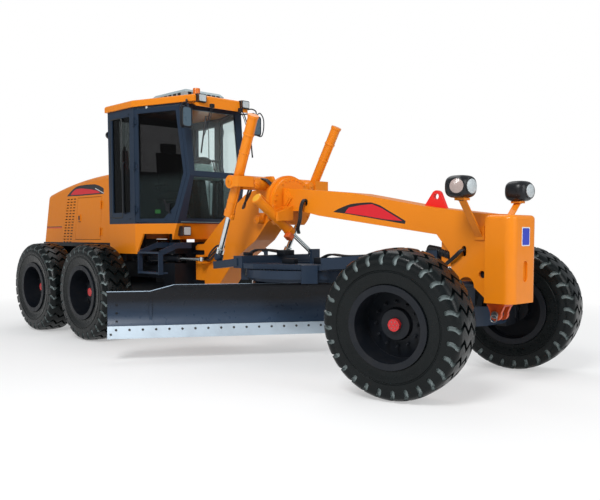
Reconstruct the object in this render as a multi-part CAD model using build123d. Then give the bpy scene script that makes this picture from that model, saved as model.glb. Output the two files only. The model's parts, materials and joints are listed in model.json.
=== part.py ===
from build123d import *

import os
from math import asin, atan2, cos, degrees, pi, radians, sin, sqrt

# Motor grader, millimetres. Working frame: +X forward, +Y to the left, +Z up, origin on the
# ground under the centre of the tandem, on the machine's centreline. Every node is moved by
# EXPORT_SHIFT when it is written, so that the stored origin lies under the middle of the
# machine's bounding box.

# ---------------------------------------------------------------- driving dimensions
EXPORT_SHIFT = (-2468.0, 250.0, 0.0)

# wheels and tyres, 17.5-25
TYRE_R = 675.4
TYRE_WIDTH = 441.0
TREAD_DEPTH = 30.0
SHOULDER_R = 590.0
BEAD_R = 332.0
BEAD_HALF = 188.0
LUGS = 20
LUG_SHARE = 0.66
TREAD_SHOULDER = 45.0
RIM_WALL = 14.0
RIM_FLANGE_R = 378.0
RIM_FLANGE_T = 26.0
RIM_DISC_T = 24.0
SEAT_GAP = 0.3
HUB_R = 150.0
HUB_DEPTH = 70.0
HUB_CAP_R = 58.0
HUB_CAP_FACE = 81.0
AXLE_STUB_R = 62.0
RUNNING_GAP = 0.1

# running gear
WHEELBASE = 6175.8
TANDEM_HALF = 770.0
TRACK_HALF = 1086.6
STEER_REST = 12.65
LEAN_REST = 4.85
AXLE_X = WHEELBASE

# tandem cases and rear axle
CASE_Y = (TRACK_HALF - 486.6, TRACK_HALF - 286.6)
CASE_R = 190.0
AXLE_TUBE_R = 165.0
AXLE_PAD = (300.0, 120.0)

# rear frame
RAIL_Z = (860.0, 1085.0)
BULKHEAD_X = 1500.0
BULKHEAD_HALF = 420.0
BULKHEAD_Z = (690.0, 1372.0)
POCKET_Y = 232.0
POCKET_Z = (1085.0, 1215.0)
CAB_POSTS = ((800.0, 300.0, RAIL_Z[1]), (1600.0, 330.0, BULKHEAD_Z[1]))
REAR_END_X = -1840.0
REAR_FRONT_X = 1780.0
REAR_BUMPER_T = 120.0
REAR_BUMPER_Z = (760.0, 1330.0)
SILL_Y = (550.0, 600.0)
SILL_H = 60.0
OUTRIGGER_X = (-1560.0, -720.0, 120.0)
CAB_POST_R = 42.0

# articulation
PIVOT_X = 2050.0
PIVOT_LUG_R = 125.0
PIVOT_LUG_T = 56.0
PIVOT_PIN_R = 50.0
PIVOT_GAP = 6.0

# front frame, a box beam seen from the side
BEAM_HALF = 160.0
COLUMN_REAR_X = 1912.0
COLUMN_Z = (711.0, 1344.0)
NOSE_X = (AXLE_X + 374.2, AXLE_X + 664.2)
NOSE_HALF = 230.0
NOSE_Z = (839.0, 1660.0)
NOSE_CORNER_R = 90.0
NOSE_TOP_R = 40.0
NOSE_RECESS = (80.0, 195.0, 22.0)
NOSE_RECESS_PLACE = (3.0, 1137.0)
NOSE_HOLE_R = 12.0
ARCH_CENTRE = (AXLE_X + 130.2, 983.0)
ARCH_R = 88.0
BEAM_TOP = ((4060.0, 2010.0), (4831.0, 1937.0), (AXLE_X - 331.8, 1757.0), (NOSE_X[0] - 46, 1676.0))
BEAM_BACK_Z = 2040.0
UNDER_FRONT = ((213.2, 980.0), (42.2, 985.0), (-39.8, 1132.0), (-64.8, 1306.0), (-220.8, 1481.0))
SIDE_HOLES = ((102.2, 1319.0, 25.0, 26.0), (306.2, 1100.0, 36.0, 0.0))
HOSE_HOLE = (4099.0, 1855.0, 26.0, 14.0)
SIDE_HOLE_DEPTH = 60.0
BEAM_UNDER_Z = 1760.0

# front axle; each end has a lean pin along X and a kingpin across it
AXLE_HALF_DEPTH = 78.0
AXLE_Z = (555.0, 752.0)
AXLE_CHEEK_T = 34.0
LEAN_PIN_Y = 640.0
LEAN_PIN_Z = 640.0
LEAN_PIN_R = 38.0
LEAN_BOSS_R = 58.0
LEAN_RANGE = 17.0
STEER_RANGE = 45.0
FORK_GAP = 4.0
FORK_HALF = 55.0
FORK_EAR_Z = (100.0, 150.0)
KINGPIN_Y = TRACK_HALF - 128.6
KINGPIN_R = 30.0
KNUCKLE_R = 50.0
LEAN_BAR_X = AXLE_X + 114.2
LEAN_BAR_Z = 985.0
LEAN_BAR_R = 30.0
LEAN_EYE_R = 42.0
LEAN_EYE_PIN_R = 22.0
PEDESTAL_HALF = 140.0

# drawbar, circle and blade
BALL = (AXLE_X - 155.8, 0.0, 1250.0)
BALL_R = 62.0
DRAWBAR_Z = (1080.0, 1226.0)
DRAWBAR_RAIL = 130.0
CIRCLE_CENTRE = (3906.0, 0.0)
CIRCLE_R = 700.0
CIRCLE_RING = 90.0
CIRCLE_Z = (975.0, 1070.0)
CIRCLE_SKIRT = (622.0, 654.0, 940.0)
CIRCLE_TEETH = 40
TOOTH = (26.0, 40.0)
ARM_BOSS_R = 62.0
ARM_CROSS = ((345.0, 400.0), (858.0, 908.0))
SHOE_RADIAL_GAP = 12.0
BLADE_ANGLE = 56.8
BLADE_SHIFT = -347.0
BLADE_LENGTH = 3962.0
BLADE_BOTTOM = 273.0
BLADE_CHORD = 610.0
MOLDBOARD_T = 19.0
MOLDBOARD_SAG = 118.0
MOLDBOARD_TOP_BACK = 8.0
EDGE_HEIGHT = 150.0
EDGE_T = 19.0
EDGE_LEAN = 18.0
ARM_S = 560.0
ARM_T = 44.0
CARRIER_S = 440.0
TILT_N = -330.0
TILT_Z = 560.0
TILT_TUBE_R = 40.0
RAIL_SIZE = 56.0
RAIL_N = -212.0
RAIL_HEIGHTS = (430.0, 742.0)
RAIL_SPAN = 1500.0
SHOE_SIZE = 110.0
SHOE_GAP = 1.0
SIDE_ROD_TIP = -250.0
SIDE_ROD_R = 28.0
SIDE_BARREL = (-560.0, 690.0)
SIDE_BARREL_R = 50.0
TILT_ANCHOR = (610.0, 890.0)
TILT_EYE = (330.0, 760.0)
TILT_BARREL_R = 28.0
TILT_EAR_S = 52.0
TILT_ROD_R = 18.0
TILT_BARREL = (24.0, 262.0)
TILT_PIN_R = 14.0
TILT_ROD_LENGTH = 232.0

# cylinders
LIFT_TRUNNION = (3412.0, 635.0, 2104.0)
LIFT_BALL = (2952.0, 565.0, 1196.0)
LIFT_BARREL_R = 60.0
LIFT_BARREL_ABOVE = 830.0
LIFT_BARREL_BELOW = 440.0
LIFT_ROD_R = 32.0
LIFT_ROD_BACK = 500.0
BALL_CUP = 62.0
YOKE_GAP = 10.0
YOKE_T = 46.0
YOKE_SWING = 64.0
TRUNNION_R = 44.0
ROD_GAP = 0.5
SHIFT_TRUNNION = (3790.0, -371.0, 1690.0)
SHIFT_ROD_END = (3790.0, 246.0, 1251.0)
SHIFT_BARREL = (362.0, 322.0)
SHIFT_BARREL_R = 56.0
SHIFT_ROD_R = 26.0
SHIFT_PIN_R = 34.0
SHIFT_ROD_BACK = 204.0
SHIFT_LUG_T = 32.0
SHIFT_EYE_T = 56.0
SHIFT_WINDOW = ((3650.0, 3832.0), (112.0, 372.0))
SADDLE_X = (3600.0, 3708.0)
SADDLE_R = (346.0, 320.0)
SADDLE_Z = 1856.0
BELLY = ((3600.0, 3716.0), 1600.0)
SADDLE_PLATE_T = 46.0
SIDE_LUG = (3323.0, 1665.0, 54.0)
YOKE_BOSS = (3561.0, 452.0, 2090.0, 60.0)
ART_ANCHOR = (1180.0, 430.0, 1150.0)
ART_EYE = (2190.0, 262.0, 1150.0)
ART_PIN_R = 20.0

# hood
HOOD_HALF = 600.0
HOOD_WALL = 6.0
HOOD_BOTTOM_Z = 1360.0
HOOD_FRONT = (622.0, 2390.0)
HOOD_TOP_MID = (-560.0, 2318.0)
HOOD_REAR_TOP = (-1587.0, 2148.0)
HOOD_REAR_BOTTOM_X = -1800.0
HOOD_EDGE_R = 70.0
HOOD_DOOR_Z = (1410.0, 2055.0)
HOOD_DOOR_BOTTOM_X = (-733.0, 72.0)
HOOD_DOOR_TOP_X = (-603.0, 132.0)
HOOD_DOOR_GAP = 6.0

# cab
CAB_REAR_X = 640.0
CAB_HALF = 760.0
CAB_KINK_X = 1330.0
CAB_TAPER = 0.329
CAB_FLOOR_Z = 1632.0
CAB_FLOOR_T = 30.0
CAB_TOP_Z = 3222.0
CAB_FRONT = ((2015.0, 1632.0), (2225.0, 2270.0), (2105.0, 3222.0))
CAB_WALL = 54.0
GLASS_T = 7.0
ROOF_Z = (CAB_TOP_Z + SEAT_GAP, 3315.0)
DOOR_REAR_X = 1346.0
DOOR_OUTLINE = ((DOOR_REAR_X, 1650.0), (1966.0, 1650.0), (2171.0, 2284.0), (2064.0, 3192.0),
                (DOOR_REAR_X, 3192.0))
DOOR_WINDOW = ((1400.0, 1700.0), (1806.0, 1700.0), (1985.0, 1872.0), (2122.0, 2306.0), (2012.0, 3128.0),
               (1400.0, 3128.0))
DOOR_GAP = 6.0
DOOR_T = 40.0
REAR_PANE = ((750.0, 1790.0), (1210.0, 1790.0), (1226.0, 3108.0), (750.0, 3108.0))

# hinges of the doors
HINGE_R = 12.0
HINGE_PIN_R = 6.0
HINGE_LEAF = 70.0
HINGE_END = 28.0
HINGE_OUT = 15.0
CAB_HINGE_Z = (1820.0, 2420.0, 3020.0)
HOOD_HINGE_Z = (1530.0, 1935.0)

# steps
STEP_X = (1680.0, 2170.0)
STEP_Y = 905.0
STEP_HEIGHTS = (1244.0, 980.0)
STEP_DEPTH = 140.0

# front lugs and lamps
LIFT_LUG = ((AXLE_X - 470.8, AXLE_X - 204.8), 1928.0)
LIFT_LUG_HALF = 19.0
LIFT_LUG_EYE = (AXLE_X - 329.8, 1866.0)
LIFT_LUG_R = 62.0
LIFT_LUG_BORE_R = 30.0
TOW_LUG_X = (NOSE_X[0] - 62, NOSE_X[0] + 126)
TOW_LUG_BOTTOM = 660.0
TOW_LUG_HALF = 75.0
TOW_LUG_T = 32.0
TOW_PIN = (NOSE_X[0] + 32, 718.0)
TOW_PIN_R = 24.0
LAMP = (NOSE_X[0] - 77, 519.0, 1913.0)
LAMP_SIZE = (230.0, 270.0, 200.0)
LAMP_FOOT = (NOSE_X[0] - 96, 1494.0)
HOOD_SLOTS = (3, 16)
HOOD_SLOT = (72.0, 15.0)
HOOD_SLOT_TOP = (-963.0, 2054.0)
HOOD_SLOT_STEP = (109.0, -45.5, -12.6)
GRILLE = (8, 400.0, 1480.0, 70.0, 36.0)
SKIRT_Z = 1417.0
PANEL_EDGE = ((1350.0, 1215.0), (1435.0, SKIRT_Z), (1466.0, 1492.0), (1935.0, 1492.0))
SKIRT_LAMP = (2020.0, 425.0, 1530.0, 62.0)
ROOF_LAMPS = (2330.0, 365.0, 3262.0)
ROOF_LAMP_SIZE = (90.0, 130.0, 100.0)
BEACON = (2010.0, -190.0, 46.0, 3455.0)


# ---------------------------------------------------------------- helpers
def block(x, y, z):
    """Box between two values on each axis."""
    size = Box(x[1] - x[0], y[1] - y[0], z[1] - z[0])
    return Pos((x[0] + x[1]) / 2, (y[0] + y[1]) / 2, (z[0] + z[1]) / 2) * size


def side_profile(points, y):
    """Outline of (x, z) points in the machine's side view, extruded across from y[0] to y[1]."""
    plane = Plane(origin=(0, y[1], 0), x_dir=(1, 0, 0), z_dir=(0, -1, 0))
    return extrude(plane * make_face(Polyline(*points, close=True)), y[1] - y[0])


def plan_profile(points, z):
    """Outline of (x, y) points in plan, extruded up from z[0] to z[1]."""
    return extrude(Pos(0, 0, z[0]) * make_face(Polyline(*points, close=True)), z[1] - z[0])


def bar(a, b, radius):
    """Round bar from point a to point b."""
    a, b = Vector(*a), Vector(*b)
    plane = Plane(origin=a, z_dir=b - a)
    return plane * Cylinder(radius, (b - a).length, align=(Align.CENTER, Align.CENTER, Align.MIN))


def square_bar(a, b, width, depth):
    """Rectangular bar from point a to point b; width lies level, depth upright."""
    a, b = Vector(*a), Vector(*b)
    along = (b - a).normalized()
    level = Vector(0, 0, 1).cross(along)
    plane = Plane(origin=a, x_dir=level, z_dir=along)
    return plane * Box(width, depth, (b - a).length, align=(Align.CENTER, Align.CENTER, Align.MIN))


def mirrored(shape):
    """The same piece on the other side of the centreline."""
    return mirror(shape, Plane.XZ)


def toward(a, b, distance):
    """Point on the line from a to b, at a distance from a."""
    a, b = Vector(*a), Vector(*b)
    return a + (b - a).normalized() * distance


# ---------------------------------------------------------------- wheels
def ring_profile(points):
    """Solid of revolution about Y of a closed (radius, y) outline."""
    outline = make_face(Polyline(*points, close=True))
    return revolve(outline, Axis.Y)


def tyre():
    """Flat-faced tyre about the Y axis with lugs across its tread; the middle of one lug is lowest."""
    half = TYRE_WIDTH / 2
    flank = [(BEAD_R, BEAD_HALF), (RIM_FLANGE_R + 4, BEAD_HALF), (490, half), (SHOULDER_R, half - 4)]
    lug_line = closed_line(flank + [(TYRE_R, half - TREAD_SHOULDER)])
    groove_line = closed_line(flank + [(TYRE_R - TREAD_DEPTH, half - 58)])
    pitch = 2 * pi / LUGS
    lug = pitch * LUG_SHARE
    # corners stand out so that the flats between them have the named radii
    corner = 1 / cos(lug / 2)

    def at_angle(line, angle):
        return [Vector(r * corner * sin(angle), y, -r * corner * cos(angle)) for r, y in line]

    faces = []
    for index in range(LUGS):
        start = index * pitch - lug / 2
        for line, a, b in ((lug_line, start, start + lug), (groove_line, start + lug, start + pitch)):
            near, far = at_angle(line, a), at_angle(line, b)
            for k in range(len(line)):
                faces.append(flat_face(near[k - 1], near[k], far[k], far[k - 1]))
        top, first = len(flank), len(flank) - 1
        for angle in (start, start + lug):
            high, low = at_angle(lug_line, angle), at_angle(groove_line, angle)
            faces.append(flat_face(high[first], high[top], high[top + 1], high[top + 2], low[top + 1],
                                   low[top]))
    return Solid(Shell(faces))


def closed_line(half_line):
    """Section of (radius, y) points, mirrored about the middle of the tyre."""
    return half_line + [(r, -y) for r, y in reversed(half_line)]


def flat_face(*corners):
    """Flat face through its corners."""
    return Face(Wire.make_polygon(corners, close=True))


def rim():
    """Dished rim, hub and cap about the Y axis, outboard side at +Y, with the axle's bore."""
    half = TYRE_WIDTH / 2
    outer = BEAD_R - SEAT_GAP
    inner = outer - RIM_WALL
    body = ring_profile([
        (0, -HUB_DEPTH), (HUB_R, -HUB_DEPTH), (HUB_R, -RIM_DISC_T), (inner, -RIM_DISC_T - 60),
        (inner, -half), (RIM_FLANGE_R, -half), (RIM_FLANGE_R, -half + RIM_FLANGE_T), (outer,
                                                                                      -half + RIM_FLANGE_T),
        (outer, half - RIM_FLANGE_T), (RIM_FLANGE_R, half - RIM_FLANGE_T), (RIM_FLANGE_R, half),
        (inner, half), (inner, -40), (HUB_R, 0), (HUB_R - 12, 46), (HUB_CAP_R, 46), (HUB_CAP_R, HUB_CAP_FACE),
        (0, HUB_CAP_FACE),
    ])
    bore = Pos(0, -HUB_DEPTH, 0) * Rot(-90, 0, 0) * Cylinder(
        AXLE_STUB_R + RUNNING_GAP, HUB_DEPTH + 20, align=(Align.CENTER, Align.CENTER, Align.MIN))
    return body - bore


def stub():
    """Axle end that fills the rim's bore, about the Y axis, pointing at +Y."""
    return Pos(0, -HUB_DEPTH - 1, 0) * Rot(-90, 0, 0) * Cylinder(
        AXLE_STUB_R, HUB_DEPTH + 18, align=(Align.CENTER, Align.CENTER, Align.MIN))


# Side of the machine: +1 left, -1 right. A right-hand wheel is the left-hand one turned about Z.
def wheel_place(x, side):
    """Place of a rear wheel, whose shapes face outboard at +Y."""
    turn = 0 if side > 0 else 180
    return Pos(x, side * TRACK_HALF, TYRE_R) * Rot(0, 0, turn)


def front_wheel_height():
    """Height of a leaned front wheel's centre when its lower shoulder stands on the ground."""
    lean = radians(LEAN_REST)
    return TYRE_R * cos(lean) + (TYRE_WIDTH / 2 - TREAD_SHOULDER) * sin(lean)


def axle_roll():
    """Roll of the axle beam that sets both leaned wheels on level ground."""
    return -degrees(asin((TRACK_HALF - LEAN_PIN_Y) * sin(radians(LEAN_REST)) / LEAN_PIN_Y))


def axle_place():
    """The axle beam's frame: raised and rolled about its middle."""
    height = front_wheel_height() - (TYRE_R - LEAN_PIN_Z) * cos(radians(LEAN_REST))
    return Pos(AXLE_X, 0, height) * Rot(axle_roll(), 0, 0) * Pos(-AXLE_X, 0, -LEAN_PIN_Z)


def lean_place(side):
    """A fork's frame: moved to its lean pin on the axle and leaned to the right by LEAN_REST."""
    pin = (axle_place() * Pos(AXLE_X, side * LEAN_PIN_Y, LEAN_PIN_Z)).position
    return Pos(*pin) * Rot(LEAN_REST, 0, 0) * Pos(-AXLE_X, -side * LEAN_PIN_Y, -LEAN_PIN_Z)


def steer_place(side):
    """The steered pieces' frame: leaned, then turned left by STEER_REST about the kingpin."""
    kingpin = Pos(AXLE_X, side * KINGPIN_Y, 0)
    return lean_place(side) * kingpin * Rot(0, 0, STEER_REST) * Pos(-AXLE_X, -side * KINGPIN_Y, 0)


def front_wheel_place(side):
    """Place of a front wheel, whose shapes face outboard at +Y."""
    turn = 0 if side > 0 else 180
    place = steer_place(side) * Pos(AXLE_X, side * TRACK_HALF, TYRE_R) * Rot(0, 0, turn)
    down = (place.inverse() * Pos(0, 0, -1)).position - place.inverse().position
    # rolled so that the middle of a lug is lowest
    return place * Rot(0, -degrees(atan2(down.X, -down.Z)), 0)


# ---------------------------------------------------------------- rear frame and tandem
def tandem_cases():
    """Both chain cases, the axle tube between them and the four wheel stubs."""
    half = TANDEM_HALF
    outline = SlotCenterToCenter(2 * half, 2 * CASE_R)
    plane = Plane(origin=(0, CASE_Y[1], TYRE_R), x_dir=(1, 0, 0), z_dir=(0, -1, 0))
    case = extrude(plane * outline, CASE_Y[1] - CASE_Y[0])
    for x in (-half, half):
        end = Pos(x, TRACK_HALF, TYRE_R) * stub()
        collar = bar((x, CASE_Y[1] - 5, TYRE_R), (x, TRACK_HALF - HUB_DEPTH - 1, TYRE_R), 92)
        case = case.fuse(end, collar)
    tube = bar((0, -CASE_Y[0] - 5, TYRE_R), (0, CASE_Y[0] + 5, TYRE_R), AXLE_TUBE_R)
    pads = [
        block((-AXLE_PAD[0], AXLE_PAD[0]), (side * 290 - 60, side * 290 + 60), (TYRE_R + 60, RAIL_Z[0]))
        for side in (-1, 1)
    ]
    return case.fuse(mirrored(case), tube, *pads)


def rear_frame():
    """Two rails with cross members, the rear bumper, the front bulkhead, lugs and pivot pins."""
    rails = [
        block((REAR_END_X - 20, REAR_FRONT_X), (side * 290 - 60, side * 290 + 60), RAIL_Z) for side in (-1, 1)
    ]
    crosses = [block((x, x + 120), (-235, 235), (RAIL_Z[0] + 30, RAIL_Z[1] - 30)) for x in (-1100, -100, 900)]
    bumper = block((REAR_END_X - REAR_BUMPER_T, REAR_END_X), (-HOOD_HALF, HOOD_HALF), REAR_BUMPER_Z)
    bumper = fillet(bumper.edges().filter_by(Axis.Z).group_by(Axis.X)[0], 60)
    bulkhead = block((BULKHEAD_X, REAR_FRONT_X), (-BULKHEAD_HALF, BULKHEAD_HALF), BULKHEAD_Z)
    anchors = []
    for side in (-1, 1):
        pocket = sorted((side * POCKET_Y, side * (BULKHEAD_HALF + 1)))
        bulkhead -= block((BULKHEAD_X - 1, REAR_FRONT_X + 1), pocket, POCKET_Z)
        anchors.append(block((ART_ANCHOR[0] - 130, ART_ANCHOR[0] - 60), sorted((side * 240, side * 480)),
                             (1040, 1226)))
        for sign in (-1, 1):
            plate = block((ART_ANCHOR[0] - 70, ART_ANCHOR[0] + 26), sorted((side * 370, side * 480)),
                          (ART_ANCHOR[2] + sign * 46 - 14, ART_ANCHOR[2] + sign * 46 + 14))
            anchors.append(plate)
        anchors.append(bar((ART_ANCHOR[0], side * ART_ANCHOR[1], ART_ANCHOR[2] - 50),
                           (ART_ANCHOR[0], side * ART_ANCHOR[1], ART_ANCHOR[2] + 50), ART_PIN_R))
    lugs = []
    for z in pivot_lug_heights():
        tip = Pos(PIVOT_X, 0, z) * Cylinder(PIVOT_LUG_R, PIVOT_LUG_T)
        neck = block((REAR_FRONT_X - 10, PIVOT_X), (-PIVOT_LUG_R, PIVOT_LUG_R),
                     (z - PIVOT_LUG_T / 2, z + PIVOT_LUG_T / 2))
        pin = Pos(PIVOT_X, 0, z) * Cylinder(PIVOT_PIN_R, PIVOT_LUG_T + 90)
        lugs += [tip, neck, pin]
    return bulkhead.fuse(*rails, *crosses, bumper, *anchors, *lugs, *hood_sills(), *cab_posts())


def hood_sills():
    """Sills under the hood's sides and the outriggers that carry them on the rails."""
    top = HOOD_BOTTOM_Z - SEAT_GAP
    pieces = []
    for side in (-1, 1):
        pieces.append(block((REAR_END_X - 20, 600), sorted((side * SILL_Y[0], side * SILL_Y[1])),
                            (top - SILL_H, top)))
        for x in OUTRIGGER_X:
            web = block((x, x + 70), sorted((side * 300, side * SILL_Y[1])),
                        (RAIL_Z[1] - 60, top - SILL_H + 10))
            pieces.append(web)
    return pieces


def cab_posts():
    """Posts that carry the cab's floor on the rails and on the bulkhead."""
    top = CAB_FLOOR_Z - SEAT_GAP - CAB_FLOOR_T - SEAT_GAP
    return [bar((x, side * y, foot - 20), (x, side * y, top), CAB_POST_R) for x, y,
            foot in CAB_POSTS for side in (-1, 1)]


def pivot_lug_heights():
    """Heights of the rear frame's two pivot lugs, inside the front frame's column."""
    return (COLUMN_Z[0] + 110, COLUMN_Z[1] - 110)


def engine_block():
    """The engine, transmission and radiator as one plain block on four feet on the rails."""
    body = block((-1450, 350), (-220, 220), (1160, 2050))
    feet = [block((x, x + 130), sorted((side * 200, side * 320)), (RAIL_Z[1] + SEAT_GAP, 1190))
            for x in (-1400, 220) for side in (-1, 1)]
    return body.fuse(*feet)


def hood_side_outline(inset=0.0):
    """Side view of the hood, offset inwards by a wall."""
    rear_top = (HOOD_REAR_TOP[0] + inset, HOOD_REAR_TOP[1] - inset)
    rear_bottom = (HOOD_REAR_BOTTOM_X + inset, HOOD_BOTTOM_Z - (1 if inset else 0))
    front_top = (HOOD_FRONT[0] + (1 if inset else 0), HOOD_FRONT[1] - inset)
    front_bottom = (HOOD_FRONT[0] + (1 if inset else 0), HOOD_BOTTOM_Z - (1 if inset else 0))
    top = ThreePointArc(rear_top, (HOOD_TOP_MID[0], HOOD_TOP_MID[1] - inset), front_top)
    return make_face(Curve() + [top, Line(front_top, front_bottom), Line(front_bottom, rear_bottom),
                                Line(rear_bottom, rear_top)])


def hood_solid(inset=0.0):
    """The hood as a solid, offset inwards by a wall, open at the bottom and front."""
    half = HOOD_HALF - inset
    plane = Plane(origin=(0, half, 0), x_dir=(1, 0, 0), z_dir=(0, -1, 0))
    solid = extrude(plane * hood_side_outline(inset), 2 * half)
    radius = HOOD_EDGE_R - inset
    edges = [e for e in solid.edges() if e.geom_type == GeomType.CIRCLE]
    return fillet(edges, radius)


def hood_door_outline():
    """Outline of the hood's door opening in the side view."""
    low, high = HOOD_DOOR_BOTTOM_X, HOOD_DOOR_TOP_X
    z = HOOD_DOOR_Z
    return ((low[0], z[0]), (low[1], z[0]), (high[1], z[1]), (high[0], z[1]))


def hood_door_prism(amount, y):
    """Space of a hood door, grown all round by an amount, between two y values."""
    plane = Plane(origin=(0, y[1], 0), x_dir=(1, 0, 0), z_dir=(0, -1, 0))
    return extrude(plane * grown(hood_door_outline(), amount), y[1] - y[0])


def hood_hinge_line():
    """Two points of the left hood door's hinge axis, along its front edge."""
    step = HOOD_DOOR_GAP / 2
    y = HOOD_HALF + HINGE_OUT
    return ((HOOD_DOOR_BOTTOM_X[1] + step, y, HOOD_DOOR_Z[0]), (HOOD_DOOR_TOP_X[1] + step, y, HOOD_DOOR_Z[1]))


def hood():
    """Hood shell with its two door openings and the doors' fixed knuckles."""
    shell = hood_solid() - hood_solid(HOOD_WALL)
    cut = hood_door_prism(HOOD_DOOR_GAP, (HOOD_HALF - 40, HOOD_HALF + 10))
    shell = shell - cut - mirrored(cut)
    low, high = hood_hinge_line()
    fixed = [hinge_fixed(low, high, z, 1) for z in HOOD_HINGE_Z]
    fixed += [mirrored(knuckle) for knuckle in fixed]
    shell = shell.fuse(*fixed)
    slots = hood_slots()
    return shell.cut(*slots, *[mirrored(slot) for slot in slots], *rear_grille())


def hood_slots():
    """Cutters of the left side's slots, in columns that lean as the hood's rear edge does."""
    columns, rows = HOOD_SLOTS
    length, height = HOOD_SLOT
    across, down, lean = HOOD_SLOT_STEP
    cutters = []
    for column in range(columns):
        for row in range(rows):
            x = HOOD_SLOT_TOP[0] + column * across + row * lean
            z = HOOD_SLOT_TOP[1] + row * down
            cutters.append(block((x, x + length), (HOOD_HALF - 20, HOOD_HALF + 10), (z - height, z)))
    return cutters


def rear_grille():
    """Cutters of the level slots in the hood's rear wall."""
    count, half, low, step, height = GRILLE
    rear = HOOD_REAR_BOTTOM_X - 20
    return [block((rear, rear + 300), (-half, half), (low + index * step, low + index * step + height))
            for index in range(count)]


def hood_door(side):
    """Service door that closes the hood's opening, flush outside, with its latch and knuckles."""
    leaf = hood_door_prism(0, (HOOD_HALF - HOOD_WALL, HOOD_HALF))
    latch = block((-628, -528), (HOOD_HALF - 1, HOOD_HALF + 12), (1690, 1800))
    low, high = hood_hinge_line()
    leaf = leaf.fuse(latch, *[hinge_moving(low, high, z, -1) for z in HOOD_HINGE_Z])
    for z in HOOD_HINGE_Z:
        leaf -= hinge_bore(low, high, z)
    return leaf if side > 0 else mirrored(leaf)


# ---------------------------------------------------------------- hinges
def hinge_point(low, high, z):
    """Point of a hinge axis at a height, and the axis's direction."""
    low, high = Vector(*low), Vector(*high)
    along = high - low
    return low + along * ((z - low.Z) / along.Z), along.normalized()


def hinge_strap(centre, length, side, sink=0.0):
    """Strap from a knuckle on the left wall to the wall beside it, sunk into it where it tapers."""
    x = sorted((centre.X, centre.X + side * 44))
    y = centre.Y - HINGE_OUT
    return block(x, (y - sink, y + 5), (centre.Z - length / 2, centre.Z + length / 2))


def hinge_fixed(low, high, z, side):
    """Upper and lower knuckles of a left-hand hinge with the pin through the moving one."""
    centre, along = hinge_point(low, high, z)
    pieces = []
    for sign in (-1, 1):
        near = centre + along * (sign * (HINGE_LEAF / 2 + 1))
        far = centre + along * (sign * (HINGE_LEAF / 2 + HINGE_END))
        knuckle = bar(near, far, HINGE_R)
        middle = (near + far) * 0.5
        pieces.append(knuckle.fuse(hinge_strap(middle, HINGE_END - 4, side)))
    pin = bar(centre - along * (HINGE_LEAF / 2 + 3), centre + along * (HINGE_LEAF / 2 + 3), HINGE_PIN_R)
    return pieces[0].fuse(pin, pieces[1])


def hinge_moving(low, high, z, side, sink=0.0):
    """The door's own knuckle of a left-hand hinge, before its bore."""
    centre, along = hinge_point(low, high, z)
    knuckle = bar(centre - along * (HINGE_LEAF / 2), centre + along * (HINGE_LEAF / 2), HINGE_R)
    return knuckle.fuse(hinge_strap(centre, HINGE_LEAF - 8, side, sink))


def hinge_bore(low, high, z):
    """Bore of the moving knuckle."""
    centre, along = hinge_point(low, high, z)
    return bar(centre - along * (HINGE_LEAF / 2 + 1), centre + along * (HINGE_LEAF / 2 + 1),
               HINGE_PIN_R + RUNNING_GAP)


# ---------------------------------------------------------------- cab
def cab_plan(inset=0.0, nose_x=2400.0):
    """Plan outline of the cab's walls, offset inwards."""
    slope = sqrt(1 + CAB_TAPER ** 2)
    rear, half = CAB_REAR_X + inset, CAB_HALF - inset
    kink = CAB_KINK_X + inset * (1 - slope) / CAB_TAPER
    nose = CAB_HALF - (nose_x - CAB_KINK_X) * CAB_TAPER - inset * slope
    return [(rear, -half), (kink, -half), (nose_x, -nose), (nose_x, nose), (kink, half), (rear, half)]


def cab_side(inset=0.0, top=CAB_TOP_Z, bottom=CAB_FLOOR_Z):
    """Side outline of the cab, its front set back by an inset."""
    low, knee, high = CAB_FRONT
    return [(CAB_REAR_X - 50, bottom), (low[0] - inset - (low[1] - bottom) * 0.33, bottom),
            (knee[0] - inset, knee[1]), (high[0] - inset, top), (CAB_REAR_X - 50, top)]


def cab_solid(inset=0.0, front_inset=0.0, z=(CAB_FLOOR_Z, CAB_TOP_Z)):
    """The cab's volume between two heights, walls offset inwards."""
    prism = plan_profile(cab_plan(inset), z)
    return prism & side_profile(cab_side(front_inset, z[1], z[0]), (-CAB_HALF - 50, CAB_HALF + 50))


def grown(points, amount):
    """A convex outline with each side moved outwards."""
    face = make_face(Polyline(*points, close=True))
    return offset(face, amount, kind=Kind.INTERSECTION) if amount else face


def door_prism(points, amount=0.0):
    """Cutter across the right-hand door wall from an outline in the side view."""
    plane = Plane(origin=(0, -300, 0), x_dir=(1, 0, 0), z_dir=(0, -1, 0))
    return extrude(plane * grown(points, amount), 600)


def wall_band(depth_from, depth_to):
    """The part of the cab's wall between two depths behind its outer face."""
    z = (CAB_FLOOR_Z, CAB_TOP_Z)
    outer = cab_solid(depth_from, depth_from, z) if depth_from else cab_solid(0, 0, z)
    return outer - cab_solid(depth_to, depth_to, (z[0] - 1, z[1] + 1))


def windscreen_cutters():
    """Openings of the two windscreen panes and the rear window."""
    upper = block((1900, 2400), (-385, 385), (2330, 3150))
    lower = block((1900, 2400), (-400, 400), (1700, 2250))
    rear = block((500, 800), (-600, 600), (2420, 3120))
    return [upper, lower, rear]


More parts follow.
